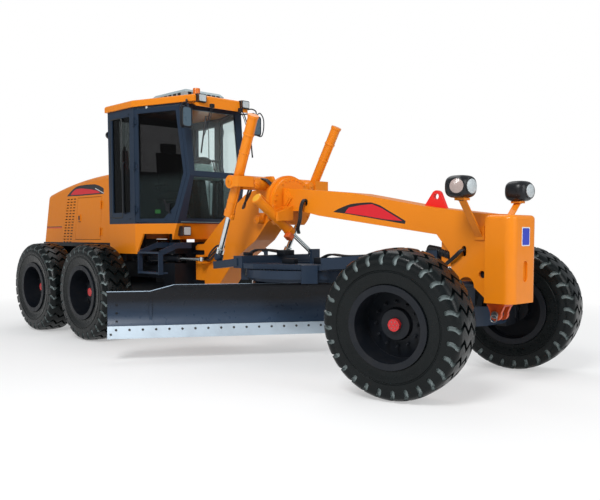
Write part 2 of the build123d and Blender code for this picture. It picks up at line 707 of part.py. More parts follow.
def cab_frame():
    """Welded cab frame of pillars and rails, with the mirrors' arms and housings."""
    shell = cab_solid() - cab_solid(CAB_WALL, CAB_WALL, (CAB_FLOOR_Z - 1, CAB_TOP_Z + 1))
    for cutter in windscreen_cutters():
        shell -= cutter
    side = door_prism(DOOR_OUTLINE, DOOR_GAP)
    pane = door_prism_rear()
    shell = shell - side - mirrored(side) - pane - mirrored(pane)
    low, high = cab_hinge_line()
    fixed = [hinge_fixed(low, high, z, -1) for z in CAB_HINGE_Z]
    fixed += [mirrored(knuckle) for knuckle in fixed]
    arms = []
    for sign in (-1, 1):
        bend = (2330.0, sign * 560.0, 3170.0)
        arms.append(bar((2070.0, sign * 470.0, 3170.0), bend, 9))
        arms.append(bar(bend, (2330.0, sign * 560.0, 2900.0), 9))
        housing = block((2305, 2345), (sign * 590 - 85, sign * 590 + 85), (2870, 3130))
        arms.append(fillet(housing.edges().filter_by(Axis.X), 40))
    return shell.fuse(*arms, *fixed)


def cab_hinge_line():
    """Two points of the left cab door's hinge axis, at the middle pillar."""
    x = DOOR_REAR_X - DOOR_GAP / 2
    return ((x, CAB_HALF + HINGE_OUT, CAB_FLOOR_Z), (x, CAB_HALF + HINGE_OUT, CAB_TOP_Z))


def door_prism_rear():
    """Cutter of the rear side window."""
    plane = Plane(origin=(0, -600, 0), x_dir=(1, 0, 0), z_dir=(0, -1, 0))
    return extrude(plane * grown(REAR_PANE, 0), 200)


def cab_glass():
    """Fixed panes: two windscreen panes, the rear window and the two rear side windows."""
    band = wall_band(18, 18 + GLASS_T)
    cutters = windscreen_cutters()
    side = door_prism_rear()
    panes = [band & cutter for cutter in cutters + [side, mirrored(side)]]
    return Compound([s for pane in panes for s in pane.solids()])


def door_frame(side):
    """Door leaf as a frame round its window, with its knuckles."""
    band = cab_solid() - cab_solid(DOOR_T, DOOR_T, (CAB_FLOOR_Z - 1, CAB_TOP_Z + 1))
    leaf = mirrored((band & door_prism(DOOR_OUTLINE)) - door_prism(DOOR_WINDOW))
    low, high = cab_hinge_line()
    leaf = leaf.fuse(*[hinge_moving(low, high, z, 1, 18) for z in CAB_HINGE_Z])
    for z in CAB_HINGE_Z:
        leaf -= hinge_bore(low, high, z)
    return leaf if side > 0 else mirrored(leaf)


def door_glass(side):
    """The door's pane, set in the middle of the leaf."""
    pane = wall_band(14, 14 + GLASS_T) & door_prism(DOOR_WINDOW)
    return pane if side < 0 else mirrored(pane)


def cab_floor():
    """Orange cab base: the floor plate with skirts, open below, the step recesses and the lamps."""
    top = CAB_FLOOR_Z - SEAT_GAP
    low = PANEL_EDGE[0][1]
    base = cab_solid(0, 0, (low, top)) - cab_solid(24, 24, (low - 1, top - CAB_FLOOR_T))
    base -= block((CAB_REAR_X - 1, CAB_REAR_X + 25), (-CAB_HALF + 24, CAB_HALF - 24), (low - 1, SKIRT_Z))
    base -= side_profile([(PANEL_EDGE[0][0], low - 1), *PANEL_EDGE[:2], (2600, SKIRT_Z), (2600, low - 1)],
                         (-CAB_HALF - 10, CAB_HALF + 10))
    x, y, z, half = SKIRT_LAMP
    for sign in (-1, 1):
        span = sorted((sign * 530, sign * 790))
        base -= side_profile([*PANEL_EDGE[1:], (PANEL_EDGE[3][0], SKIRT_Z - 1),
                              (PANEL_EDGE[1][0], SKIRT_Z - 1)], span)
        lamp = sorted((sign * (y - 60), sign * (y + half)))
        base = base.fuse(block((x - 60, x + half), lamp, (z - half, z + half)))
    return base


def cab_roof():
    """Roof cap with its eaves and the visor over the windscreen."""
    outline = [(x + (-30 if x < 1000 else 0), y + (30 if y > 0 else -30)) for x, y in cab_plan(0, 2330.0)]
    cap = plan_profile(outline, ROOF_Z)
    cap = fillet(cap.edges().group_by(Axis.Z)[-1], 34)
    visor = side_profile([(2150, ROOF_Z[0]), (2230, ROOF_Z[0]), (2330, 3160), (2345, 3160), (2330, 3270),
                          (2150, 3270)],
                         (-430, 430))
    lamps = []
    x, y, z = ROOF_LAMPS
    for sign in (-1, 1):
        lamps.append(Pos(x, sign * y, z) * Box(*ROOF_LAMP_SIZE))
    return cap.fuse(visor, *lamps)


def seat():
    """Operator's seat on its pedestal."""
    pedestal = block((1120, 1420), (-170, 170), (CAB_FLOOR_Z, 1960))
    cushion = fillet(block((1060, 1540), (-240, 240), (1960, 2080)).edges().filter_by(Axis.Z), 60)
    back = side_profile([(1060, 2080), (1180, 2080), (1090, 2760), (1000, 2760)], (-230, 230))
    back = fillet(back.edges().filter_by(Axis.Y), 30)
    return pedestal.fuse(cushion, back)


def console():
    """Steering column with its wheel, dashboard hood and the bank of blade levers."""
    column = square_bar((1875, 0, CAB_FLOOR_Z + 40), (1760, 0, 2300), 150, 110)
    base = block((1790, 1960), (-150, 150), (CAB_FLOOR_Z, 1700))
    pod = block((1640, 1880), (-170, 170), (2290, 2360))
    ring = Pos(1730, 0, 2470) * Rot(0, -22, 0) * (Cylinder(203, 24) - Cylinder(179, 24))
    spoke = Pos(1730, 0, 2470) * Rot(0, -22, 0) * Box(380, 36, 12)
    stem = bar((1760, 0, 2330), (1730, 0, 2470), 26)
    levers = []
    for sign in (-1, 1):
        for index in range(4):
            y = sign * (200 + index * 42)
            levers.append(bar((1850, y, 2240), (1790, y, 2520), 8))
        levers.append(block((1820, 1890), (sign * 263 - 95, sign * 263 + 95), (2210, 2250)))
        levers.append(square_bar((1880, sign * 190, 1700), (1855, sign * 240, 2215), 60, 60))
        levers.append(block((1850, 1930), (sign * 170 - 70, sign * 170 + 70), (CAB_FLOOR_Z, 1702)))
    return base.fuse(column, pod, ring, spoke, stem, *levers)


def ac_unit():
    """Air-conditioner box on the roof."""
    floor = ROOF_Z[1] + SEAT_GAP
    box = block((1130, 1940), (-330, 330), (floor, 3455))
    box = chamfer(box.edges().group_by(Axis.Z)[-1], 40)
    x, y, radius, top = BEACON
    foot = block((1900, x + 60), (y - 60, y + 60), (floor, floor + 40))
    return box.fuse(foot, bar((x, y, floor), (x, y, top), radius))


def steps():
    """Access ladders under both doors: hangers, stringers and three treads a side."""
    low = STEP_HEIGHTS[-1] - 18
    top = STEP_HEIGHTS[0]
    inner = STEP_Y - 250
    pieces = []
    for x in STEP_X:
        pieces.append(side_profile([(x - 6, 1300), (x + 6, 1300), (x + 6, 1372), (x - 6, 1372)],
                                   (-inner, -BULKHEAD_HALF - SEAT_GAP)))
        pieces.append(square_bar((x, -inner + 20, 1340), (x, -STEP_Y, top), 12, 70))
        pieces.append(block((x - 6, x + 6), (-STEP_Y - 35, -STEP_Y + 35), (low, top)))
    for z in STEP_HEIGHTS:
        pieces.append(block(STEP_X, (-STEP_Y - 30, -STEP_Y - 30 + STEP_DEPTH), (z - 12, z + 12)))
    hanger = block((1700, STEP_X[1]), (-460, -BULKHEAD_HALF - SEAT_GAP), (1300, 1372))
    one = hanger.fuse(*pieces)
    return one.fuse(mirrored(one))


# ---------------------------------------------------------------- front frame
def beam_top(x):
    """Height of the beam's top at a place along it."""
    for (x0, z0), (x1, z1) in zip(BEAM_TOP, BEAM_TOP[1:]):
        if x0 <= x <= x1:
            return z0 + (x - x0) * (z1 - z0) / (x1 - x0)
    raise ValueError(f"{x} lies off the beam")


def front_frame():
    """Arched box beam from the articulation column to the nose, with its pivot bores."""
    outline = [
        (COLUMN_REAR_X, COLUMN_Z[1] - 24), (COLUMN_REAR_X + 40, COLUMN_Z[1]), (2095, 1352), (2440, 1622),
        (2980, 1985), (3150, 2035), (3395, BEAM_BACK_Z), (3730, BEAM_BACK_Z), *BEAM_TOP,
        (NOSE_X[0] + 10, BEAM_TOP[-1][1]), (NOSE_X[0] + 10, NOSE_Z[0]),
        *[(AXLE_X + x, z) for x, z in UNDER_FRONT],
        (4312, 1697), (4000, BEAM_UNDER_Z), (3540, BEAM_UNDER_Z), (3195, 1412), (2793, 1176), (2360, 735),
        (2300, COLUMN_Z[0]), (COLUMN_REAR_X, COLUMN_Z[0]),
    ]
    beam = side_profile(outline, (-BEAM_HALF, BEAM_HALF))
    beam = beam.fuse(nose_box())
    for x, z, radius, stretch in [(AXLE_X + x, z, r, d) for x, z, r, d in SIDE_HOLES] + [HOSE_HOLE]:
        pocket = bar((x, BEAM_HALF - SIDE_HOLE_DEPTH, z + stretch), (x, BEAM_HALF + 1, z + stretch), radius)
        if stretch:
            lower = bar((x, BEAM_HALF - SIDE_HOLE_DEPTH, z - stretch), (x, BEAM_HALF + 1, z - stretch),
                        radius)
            pocket = pocket.fuse(lower, block((x - radius, x + radius),
                                              (BEAM_HALF - SIDE_HOLE_DEPTH, BEAM_HALF + 1),
                                              (z - stretch, z + stretch)))
        beam -= pocket
        beam -= mirrored(pocket)
    arch = Plane(origin=(ARCH_CENTRE[0], BEAM_HALF + 1, ARCH_CENTRE[1]), x_dir=(1, 0, 0), z_dir=(0, -1, 0))
    beam -= extrude(arch * Circle(ARCH_R), 2 * BEAM_HALF + 2)
    half = PIVOT_LUG_T / 2 + PIVOT_GAP
    reach = BEAM_HALF + 5
    for z in pivot_lug_heights():
        beam -= Pos(PIVOT_X, 0, z) * Cylinder(PIVOT_LUG_R + PIVOT_GAP, 2 * half)
        beam -= block((COLUMN_REAR_X - 5, PIVOT_X + 60), (-reach, reach), (z - half, z + half))
        beam -= Pos(PIVOT_X, 0, z) * Cylinder(PIVOT_PIN_R + RUNNING_GAP, PIVOT_LUG_T + 100)
    beam = beam.fuse(ball_socket())
    ears = []
    for side in (-1, 1):
        for sign in (-1, 1):
            z = ART_EYE[2] + sign * 44
            x, root, tip = ART_EYE[0], side * (BEAM_HALF - 5), side * (ART_EYE[1] + 42)
            ears.append(plan_profile([(x - 60, root), (x + 60, root), (x + 40, tip), (x - 40, tip)],
                                     (z - 12, z + 12)))
    return beam.fuse(*ears)


def nose_box():
    """Nose block with rounded front corners and rims, and the recess for the crank in its face."""
    nose = block(NOSE_X, (-NOSE_HALF, NOSE_HALF), NOSE_Z)
    nose = fillet(nose.edges().filter_by(Axis.Z).group_by(Axis.X)[-1], NOSE_CORNER_R)
    nose = fillet(nose.faces().sort_by(Axis.Z)[-1].edges(), NOSE_TOP_R)
    width, height, depth = NOSE_RECESS
    y, z = NOSE_RECESS_PLACE
    face = NOSE_X[1]
    reach = height / 2 - width / 2
    recess = block((face - depth, face + 1), (y - width / 2, y + width / 2), (z - reach, z + reach))
    for sign in (-1, 1):
        recess = recess.fuse(bar((face - depth, y, z + sign * reach), (face + 1, y, z + sign * reach),
                                 width / 2))
    hole = bar((face - depth - 40, y - 14, z), (face, y - 14, z), NOSE_HOLE_R)
    return nose - recess - hole


def ball_socket():
    """Socket under the beam's front end for the drawbar's ball, slotted behind for its neck."""
    x, y, z = BALL
    body = side_profile([(x - 48, z - 90), (x + 120, z - 90), (x + 105, z + 60), (x - 48, z + 230)],
                        (-BALL_R - 33, BALL_R + 33))
    slot = block((x - 60, x), (-46, 46), (z - 95, z + 110))
    return body - Pos(*BALL) * Sphere(BALL_R + RUNNING_GAP) - slot


def lifting_lug():
    """Front lifting lug standing on the beam, with its eye."""
    (x0, x1), top = LIFT_LUG
    x, z = LIFT_LUG_EYE
    middle = BEAM_TOP[2]
    foot = [(x0, beam_top(x0) + SEAT_GAP), (middle[0], middle[1] + SEAT_GAP), (x1, beam_top(x1) + SEAT_GAP)]
    plate = side_profile([*foot, (x + LIFT_LUG_R * 0.8, z + 38), (x, top - 2),
                          (x - LIFT_LUG_R * 0.8, z + 38)],
                         (-LIFT_LUG_HALF, LIFT_LUG_HALF))
    head = bar((x, -LIFT_LUG_HALF, z), (x, LIFT_LUG_HALF, z), LIFT_LUG_R)
    bore = bar((x, -LIFT_LUG_HALF - 1, z), (x, LIFT_LUG_HALF + 1, z), LIFT_LUG_BORE_R)
    return plate.fuse(head) - bore


def tow_lug():
    """Front towing clevis under the nose."""
    x0, x1 = TOW_LUG_X
    x, z = TOW_PIN
    top = NOSE_Z[0] - SEAT_GAP
    cheeks = []
    for sign in (-1, 1):
        y = sorted((sign * TOW_LUG_HALF, sign * (TOW_LUG_HALF - TOW_LUG_T)))
        cheek = side_profile([(x0, top), (x0, top - 24), (x - 50, z), (x + 50, z), (x1, top - 24),
                              (x1, top)], y)
        cheeks.append(cheek.fuse(bar((x, y[0], z), (x, y[1], z), z - TOW_LUG_BOTTOM)))
    base = block((x0, x1), (-TOW_LUG_HALF, TOW_LUG_HALF), (top - 40, top))
    bore = bar((x, -TOW_LUG_HALF - 1, z), (x, TOW_LUG_HALF + 1, z), TOW_PIN_R)
    return base.fuse(*cheeks) - bore


def lamp_arms():
    """Flat arms that rise from plates on both sides of the beam to the head lamps."""
    x, z = LAMP_FOOT
    face = BEAM_HALF + SEAT_GAP
    arms = []
    for sign in (-1, 1):
        foot = block((x - 55, x + 55), sorted((sign * face, sign * (face + 16))), (z - 66, z + 66))
        top = (LAMP[0], sign * (LAMP[1] - 24), LAMP[2] - LAMP_SIZE[2] / 2 - 13)
        arm = square_bar((x, sign * (face + 10), z - 30), top, 72, 16)
        pad = block((LAMP[0] - 50, LAMP[0] + 50), (top[1] - 50, top[1] + 50),
                    (top[2] - 9, top[2] + 13 - SEAT_GAP))
        arms.append(foot.fuse(arm, pad))
    return Compound([s for arm in arms for s in arm.solids()])


def head_lamps():
    """Housings of the two head lamps, rounded in plan with sloping rims."""
    x, y, z = LAMP
    lamps = []
    for sign in (-1, 1):
        box = Pos(x, sign * y, z) * Box(*LAMP_SIZE)
        box = chamfer(box.edges().filter_by(Axis.Z), 68)
        rims = box.edges().group_by(Axis.Z)
        lamps.append(chamfer(rims[0] + rims[-1], 46))
    return Compound([s for lamp in lamps for s in lamp.solids()])


def saddle():
    """Ring clamped round the beam with the two yokes that carry the lift cylinders."""
    x, y, z = LIFT_TRUNNION
    inner_face = BEAM_HALF + SEAT_GAP
    plate_out = inner_face + SADDLE_PLATE_T
    lug_x, lug_z, lug_r = SIDE_LUG
    plate = side_profile([(3290, 2190), (3260, 2060), (3290, 1800), (lug_x - lug_r, lug_z),
                          (lug_x + lug_r, lug_z),
                          (3450, 1800), (SADDLE_X[0] + 20, 1830), (SADDLE_X[0] + 20, 2060), (3540, 2190)],
                         (inner_face, plate_out))
    lug = bar((lug_x, inner_face, lug_z), (lug_x, plate_out + 60, lug_z), lug_r)
    cheek_in = y - LIFT_BARREL_R - YOKE_GAP
    cheek_out = y + LIFT_BARREL_R + YOKE_GAP
    shaft = bar((x, inner_face, z), (x, cheek_in - YOKE_T, z), 84)
    boss_x, boss_y, boss_z, boss_r = YOKE_BOSS
    boss = bar((x, boss_y, boss_z), (boss_x, boss_y, boss_z), boss_r)
    inner = bar((x, cheek_in - YOKE_T, z), (x, cheek_in, z), 84)
    outer = bar((x, cheek_out, z), (x, cheek_out + YOKE_T, z), 78)
    front = x + LIFT_BARREL_R + YOKE_SWING
    bridge = block((front, front + 44), (cheek_in - YOKE_T, cheek_out + YOKE_T), (z - 62, z + 62))
    tie_in = block((x, front + 44), (cheek_in - YOKE_T, cheek_in), (z - 62, z + 62))
    tie_out = block((x, front + 44), (cheek_out, cheek_out + YOKE_T), (z - 62, z + 62))
    yoke = shaft.fuse(inner, outer, bridge, tie_in, tie_out, plate, lug, boss)
    yoke -= bar((x, cheek_in - YOKE_T - 1, z), (x, cheek_out + YOKE_T + 1, z), TRUNNION_R + RUNNING_GAP)
    lugs, bore = shift_lugs()
    return saddle_ring().fuse(mirrored(yoke), yoke, *lugs) - bore


def saddle_ring():
    """Drum round the beam, wider behind and cut flat below, with a plate that closes it under the beam."""
    (x0, x1), (r0, r1) = SADDLE_X, SADDLE_R
    (belly_0, belly_1), low = BELLY
    plane = Plane(origin=(0, 0, SADDLE_Z), x_dir=(1, 0, 0), z_dir=(0, -1, 0))
    outline = make_face(plane * Polyline((x0, 0), (x0, r0), (x0 + 46, r0), (x0 + 46, r1), (x1, r1), (x1, 0),
                                         close=True))
    drum = revolve(outline, Axis((0, 0, SADDLE_Z), (1, 0, 0)))
    drum -= block((x0 - 1, x1 + 1), (-r0 - 1, r0 + 1), (SADDLE_Z - r0 - 1, low))
    face = BEAM_HALF + SEAT_GAP
    belly = side_profile([(belly_0, low), (belly_1 - 30, low), (belly_1, low + 40),
                          (belly_1, BEAM_UNDER_Z - SEAT_GAP),
                          (belly_0, BEAM_UNDER_Z - SEAT_GAP)], (-face, face))
    hole = block((x0 - 1, x1 + 1), (-face, face), (BEAM_UNDER_Z - SEAT_GAP, BEAM_BACK_Z + SEAT_GAP))
    return (drum - hole).fuse(belly)


def shift_lugs():
    """The lugs at the beam's right side for the side cylinder's trunnion pin, and the pin's bore."""
    x, y, z = SHIFT_TRUNNION
    inner_face = BEAM_HALF + SEAT_GAP
    gap = SHIFT_BARREL_R + FORK_GAP
    lugs = []
    for near in (x - gap - SHIFT_LUG_T, x + gap):
        plane = Plane(origin=(near, 0, 0), x_dir=(0, 1, 0), z_dir=(1, 0, 0))
        outline = [(y - 40, z - 50), (y + 50, z - 50), (-inner_face, z - 34), (-inner_face, z + 130),
                   (y + 20, z + 70),
                   (y - 40, z + 50)]
        lugs.append(extrude(plane * make_face(Polyline(*outline, close=True)), SHIFT_LUG_T))
    bore = bar((x - gap - SHIFT_LUG_T - 1, y, z), (x + gap + SHIFT_LUG_T + 1, y, z),
               SHIFT_PIN_R + RUNNING_GAP)
    tie = block((x - gap - SHIFT_LUG_T, x + gap + SHIFT_LUG_T), (-inner_face - 30, -inner_face),
                (z + 84, z + 130))
    return [*lugs, tie], bore


# ---------------------------------------------------------------- lift and shift cylinders
def cylinder_barrel(rear, gland, radius, rod_radius, cap=24.0):
    """Barrel from its closed end to its gland, with the rod's bore."""
    rear, gland = Vector(*rear), Vector(*gland)
    body = bar(rear, gland, radius)
    bore = bar(toward(rear, gland, cap), toward(gland, rear, -1), rod_radius + ROD_GAP)
    head = bar(toward(gland, rear, 70), gland, radius + 7) - bore
    return body.fuse(bar(rear, toward(rear, gland, 30), radius + 6)).fuse(head) - bore


def lift_points(side):
    """Trunnion, ball, closed end and gland of a lift cylinder."""
    trunnion = Vector(LIFT_TRUNNION[0], side * LIFT_TRUNNION[1], LIFT_TRUNNION[2])
    ball = Vector(LIFT_BALL[0], side * LIFT_BALL[1], LIFT_BALL[2])
    rear = toward(trunnion, ball, -LIFT_BARREL_ABOVE)
    gland = toward(trunnion, ball, LIFT_BARREL_BELOW)
    return trunnion, ball, rear, gland


def lift_barrel(side):
    """Lift cylinder's barrel with its trunnion."""
    trunnion, ball, rear, gland = lift_points(side)
    barrel = cylinder_barrel(rear, gland, LIFT_BARREL_R, LIFT_ROD_R)
    reach = LIFT_BARREL_R + YOKE_GAP + YOKE_T
    inner, outer = Vector(0, -side * reach, 0), Vector(0, side * (reach + 12), 0)
    cross = bar(trunnion + inner, trunnion + outer, TRUNNION_R)
    bore = bar(toward(rear, gland, 24), toward(gland, rear, -1), LIFT_ROD_R + ROD_GAP)
    return barrel.fuse(cross) - bore


def lift_rod(side):
    """Lift cylinder's chrome rod and the socket over the drawbar's ball."""
    trunnion, ball, rear, gland = lift_points(side)
    start = toward(trunnion, ball, -LIFT_ROD_BACK)
    end = toward(ball, trunnion, BALL_CUP + 20)
    rod = bar(start, end, LIFT_ROD_R)
    socket = bar(toward(ball, trunnion, BALL_CUP), toward(ball, trunnion, BALL_CUP + 60), 50)
    return rod.fuse(socket)


def shift_points():
    """Trunnion, rod end, closed end and gland of the drawbar's side cylinder."""
    trunnion, eye = Vector(*SHIFT_TRUNNION), Vector(*SHIFT_ROD_END)
    return trunnion, eye, toward(trunnion, eye, -SHIFT_BARREL[0]), toward(trunnion, eye, SHIFT_BARREL[1])


def shift_barrel():
    """Side cylinder's barrel with the pin into the saddle."""
    trunnion, eye, rear, gland = shift_points()
    barrel = cylinder_barrel(rear, gland, SHIFT_BARREL_R, SHIFT_ROD_R)
    reach = Vector(SHIFT_BARREL_R + FORK_GAP + SHIFT_LUG_T, 0, 0)
    pin = bar(trunnion - reach, trunnion + reach, SHIFT_PIN_R)
    bore = bar(toward(rear, gland, 24), toward(gland, rear, -1), SHIFT_ROD_R + ROD_GAP)
    return barrel.fuse(pin) - bore


def shift_rod():
    """Side cylinder's chrome rod and its eye."""
    trunnion, eye, rear, gland = shift_points()
    rod = bar(toward(trunnion, eye, -SHIFT_ROD_BACK), toward(eye, trunnion, 30), SHIFT_ROD_R)
    half = Vector(SHIFT_EYE_T / 2, 0, 0)
    return rod.fuse(bar(eye - half, eye + half, 44))


def articulation_points(side):
    """Anchor on the rear frame and eye on the front frame."""
    anchor = Vector(ART_ANCHOR[0], side * ART_ANCHOR[1], ART_ANCHOR[2])
    eye = Vector(ART_EYE[0], side * ART_EYE[1], ART_EYE[2])
    return anchor, eye


def articulation_barrel(side):
    """Articulation cylinder's barrel and its eye at the rear frame."""
    anchor, eye = articulation_points(side)
    rear, gland = toward(anchor, eye, 41), toward(anchor, eye, 600)
    bore = bar(toward(rear, gland, 24), toward(gland, rear, -1), 24 + ROD_GAP)
    ring = bar(anchor - Vector(0, 0, 26), anchor + Vector(0, 0, 26), 44)
    hole = bar(anchor - Vector(0, 0, 27), anchor + Vector(0, 0, 27), ART_PIN_R + RUNNING_GAP)
    return cylinder_barrel(rear, gland, 46, 24).fuse(ring) - bore - hole


def articulation_rod(side):
    """Articulation cylinder's chrome rod and its eye at the front frame."""
    anchor, eye = articulation_points(side)
    rod = bar(toward(anchor, eye, 250), toward(eye, anchor, 20), 24)
    ring = bar(eye - Vector(0, 0, 26), eye + Vector(0, 0, 26), 36)
    return rod.fuse(ring)


# ---------------------------------------------------------------- drawbar, circle and blade
def drawbar():
    """A-shaped drawbar with its front ball, the circle's shoes, and the cylinders' ball lugs."""
    z0, z1 = DRAWBAR_Z
    mid = (z0 + z1) / 2
    half = DRAWBAR_RAIL / 2
    rails = []
    for side in (-1, 1):
        rails.append(square_bar((BALL[0] - 120, side * 60, BALL[2]), (4560, side * 330, mid), DRAWBAR_RAIL,
                                130))
    plate = plan_profile([(3340, -620), (3700, -640), (4300, -480), (4640, -360), (4640, 360), (4300, 480),
                          (3700, 640), (3340, 620)], (z0, z0 + 60))
    plate -= Pos(CIRCLE_CENTRE[0], 0, z0 + 30) * Cylinder(250, 70)
    cross = block((3340, 3500), (-640, 640), (z0, z1))
    ball = Pos(*BALL) * Sphere(BALL_R)
    neck = bar((BALL[0] - 170, 0, BALL[2]), BALL, 40)
    head = block((BALL[0] - 220, BALL[0] - 80), (-130, 130), (BALL[2] - 70, BALL[2] + 70))
    arms = []
    for side in (-1, 1):
        arm = square_bar((3420, side * 600, mid), (LIFT_BALL[0] - 40, side * LIFT_BALL[1],
                                                   LIFT_BALL[2] - 95), 110, 90)
        stud = bar((LIFT_BALL[0], side * LIFT_BALL[1], LIFT_BALL[2] - 120),
                   (LIFT_BALL[0], side * LIFT_BALL[1], LIFT_BALL[2] - 10), 30)
        knob = Pos(LIFT_BALL[0], side * LIFT_BALL[1], LIFT_BALL[2]) * Sphere(46)
        arms += [arm, stud, knob]
    shoes = []
    for angle in (40, 140, 220, 320):
        outer = CIRCLE_R + SHOE_RADIAL_GAP
        seat = CIRCLE_Z[0] - SEAT_GAP
        shoe = block((outer, outer + 50), (-90, 90), (seat - 40, z0 + 10))
        lip = block((CIRCLE_R - 46, outer + 50), (-90, 90), (seat - 40, seat))
        web = block((CIRCLE_R - 130, outer + 50), (-90, 90), (z0, z0 + 60))
        shoes.append(Pos(CIRCLE_CENTRE[0], 0, 0) * Rot(0, 0, angle) * shoe.fuse(lip, web))
    x, y, z = SHIFT_ROD_END
    near = x + SHIFT_EYE_T / 2 + 6
    ear = block((near, near + 34), (y - 70, y + 70), (z0 + 20, z + 52))
    window = block(*SHIFT_WINDOW, (z0 - 1, z1 + 60))
    return plate.cut(window).fuse(cross, *rails, head, neck, ball, *arms, *shoes, ear)


def blade_place():
    """Blade frame: X along the blade to its left end, Y backwards from its face, Z up."""
    return Pos(CIRCLE_CENTRE[0], CIRCLE_CENTRE[1], 0) * Rot(0, 0, BLADE_ANGLE)


def circle():
    """Toothed ring under the drawbar with the two arms that carry the blade."""
    z0, z1 = CIRCLE_Z
    ring = Pos(0, 0, (z0 + z1) / 2) * (Cylinder(CIRCLE_R, z1 - z0) - Cylinder(CIRCLE_R - CIRCLE_RING,
                                                                              z1 - z0))
    inner, outer, low = CIRCLE_SKIRT
    skirt = Pos(0, 0, (low + z0) / 2) * (Cylinder(outer, z0 - low + 2) - Cylinder(inner, z0 - low + 2))
    teeth = []
    for index in range(CIRCLE_TEETH):
        tooth = block((CIRCLE_R - CIRCLE_RING - TOOTH[0], CIRCLE_R - CIRCLE_RING + 8),
                      (-TOOTH[1] / 2, TOOTH[1] / 2), (z0, z1 - 20))
        teeth.append(Rot(0, 0, 360 / CIRCLE_TEETH * (index + 0.5)) * tooth)
    ring = ring.fuse(skirt, *teeth)
    back = -TILT_N
    boss = ARM_BOSS_R
    arms = []
    for sign in (-1, 1):
        s = sign * ARM_S
        span = (s - ARM_T / 2, s + ARM_T / 2)
        arms.append(back_profile([(100, z0 + 20), (280, z0 + 20), (280, 912), (back + 70, 905),
                                  (back + boss, TILT_Z),
                                  (back - 56, TILT_Z), (back - 56, 800), (100, 930)], span))
        arms.append(bar((span[0], back, TILT_Z), (span[1], back, TILT_Z), boss))
    cross = block((-ARM_S, ARM_S), *ARM_CROSS)
    ears = [block((s - 12, s + 12), (TILT_ANCHOR[0] - 30, TILT_ANCHOR[0] + 32),
                  (TILT_ANCHOR[1] - 40, z0 + 20))
            for s in (-TILT_EAR_S, TILT_EAR_S)]
    reach = TILT_EAR_S + 8
    ears.append(bar((-reach, *TILT_ANCHOR), (reach, *TILT_ANCHOR), TILT_PIN_R))
    body = ring.fuse(*arms, cross, *ears)
    for sign in (-1, 1):
        s = sign * ARM_S
        body -= bar((s - ARM_T, back, TILT_Z), (s + ARM_T, back, TILT_Z), TILT_TUBE_R + RUNNING_GAP)
    return blade_place() * body


def back_profile(points, x):
    """Outline of (backward, z) points in the blade frame, extruded along the blade."""
    plane = Plane(origin=(x[0], 0, 0), x_dir=(0, 1, 0), z_dir=(1, 0, 0))
    return extrude(plane * make_face(Polyline(*points, close=True)), x[1] - x[0])


def edge_point(up, back):
    """Point of the blade's section, measured up and back from the tip of its leaning edge."""
    lean = radians(EDGE_LEAN)
    return (up * sin(lean) + back * cos(lean), BLADE_BOTTOM + up * cos(lean) - back * sin(lean))


def moldboard_section():
    """Section of the moldboard: a flat strip behind the cutting edge, then an arc to the rim."""
    front = EDGE_T + SEAT_GAP
    rear = front + MOLDBOARD_T
    top = BLADE_BOTTOM + BLADE_CHORD
    deepest = (MOLDBOARD_TOP_BACK + MOLDBOARD_SAG, BLADE_BOTTOM + 0.55 * BLADE_CHORD)
    low, knee = edge_point(45, front), edge_point(EDGE_HEIGHT, front)
    back_low, back_knee = edge_point(45, rear), edge_point(EDGE_HEIGHT, rear)
    high = (MOLDBOARD_TOP_BACK, top)
    back_high = (MOLDBOARD_TOP_BACK + MOLDBOARD_T, top)
    return make_face(Curve() + [
        Line(low, knee), ThreePointArc(knee, deepest, high), Line(high, back_high),
        ThreePointArc(back_high, (deepest[0] + MOLDBOARD_T, deepest[1]), back_knee), Line(back_knee,
                                                                                          back_low),
        Line(back_low, low),
    ])


def moldboard():
    """Concave blade with its top rim, the two slide rails, their end brackets and the side rod."""
    half = BLADE_LENGTH / 2
    plane = Plane(origin=(-half, 0, 0), x_dir=(0, 1, 0), z_dir=(1, 0, 0))
    curved = extrude(plane * moldboard_section(), BLADE_LENGTH)
    top = BLADE_BOTTOM + BLADE_CHORD
    for sign in (-1, 1):
        end, inner, full = sign * half, sign * (half - 490), sign * (half - 765)
        corner = [(end + sign, top - 62), (inner, top - 62), (full, top + 1), (end + sign, top + 1)]
        cut = Plane(origin=(0, 300, 0), x_dir=(1, 0, 0),
                    z_dir=(0, -1, 0)) * make_face(Polyline(*corner, close=True))
        curved -= extrude(cut, 400)
    rim = block((-half + 765, half - 765), (0, 40), (top - 14, top + 12))
    rails = [block((-RAIL_SPAN, RAIL_SPAN), (-RAIL_N - RAIL_SIZE / 2, -RAIL_N + RAIL_SIZE / 2),
                   (z - RAIL_SIZE / 2, z + RAIL_SIZE / 2)) for z in RAIL_HEIGHTS]
    ends = []
    for s in (-RAIL_SPAN, RAIL_SPAN - 30):
        ends.append(block((s, s + 30), (100, -RAIL_N + RAIL_SIZE / 2),
                          (RAIL_HEIGHTS[0] - 60, RAIL_HEIGHTS[1] + 60)))
    body = curved.fuse(rim, *rails, *ends)
    rod_z = (RAIL_HEIGHTS[0] + RAIL_HEIGHTS[1]) / 2
    rod = bar((-RAIL_SPAN + 10, -RAIL_N, rod_z), (SIDE_ROD_TIP - BLADE_SHIFT, -RAIL_N, rod_z), SIDE_ROD_R)
    return blade_place() * Pos(BLADE_SHIFT, 0, 0) * body.fuse(rod)


def cutting_edge():
    """Two bolted cutting edges, side by side along the bottom of the moldboard."""
    half = BLADE_LENGTH / 2
    section = [edge_point(0, 0), edge_point(EDGE_HEIGHT, 0), edge_point(EDGE_HEIGHT, EDGE_T),
               edge_point(16, EDGE_T)]
    edges = [back_profile(section, x) for x in ((-half, -0.5), (0.5, half))]
    return blade_place() * Pos(BLADE_SHIFT, 0, 0) * Compound([s for edge in edges for s in edge.solids()])


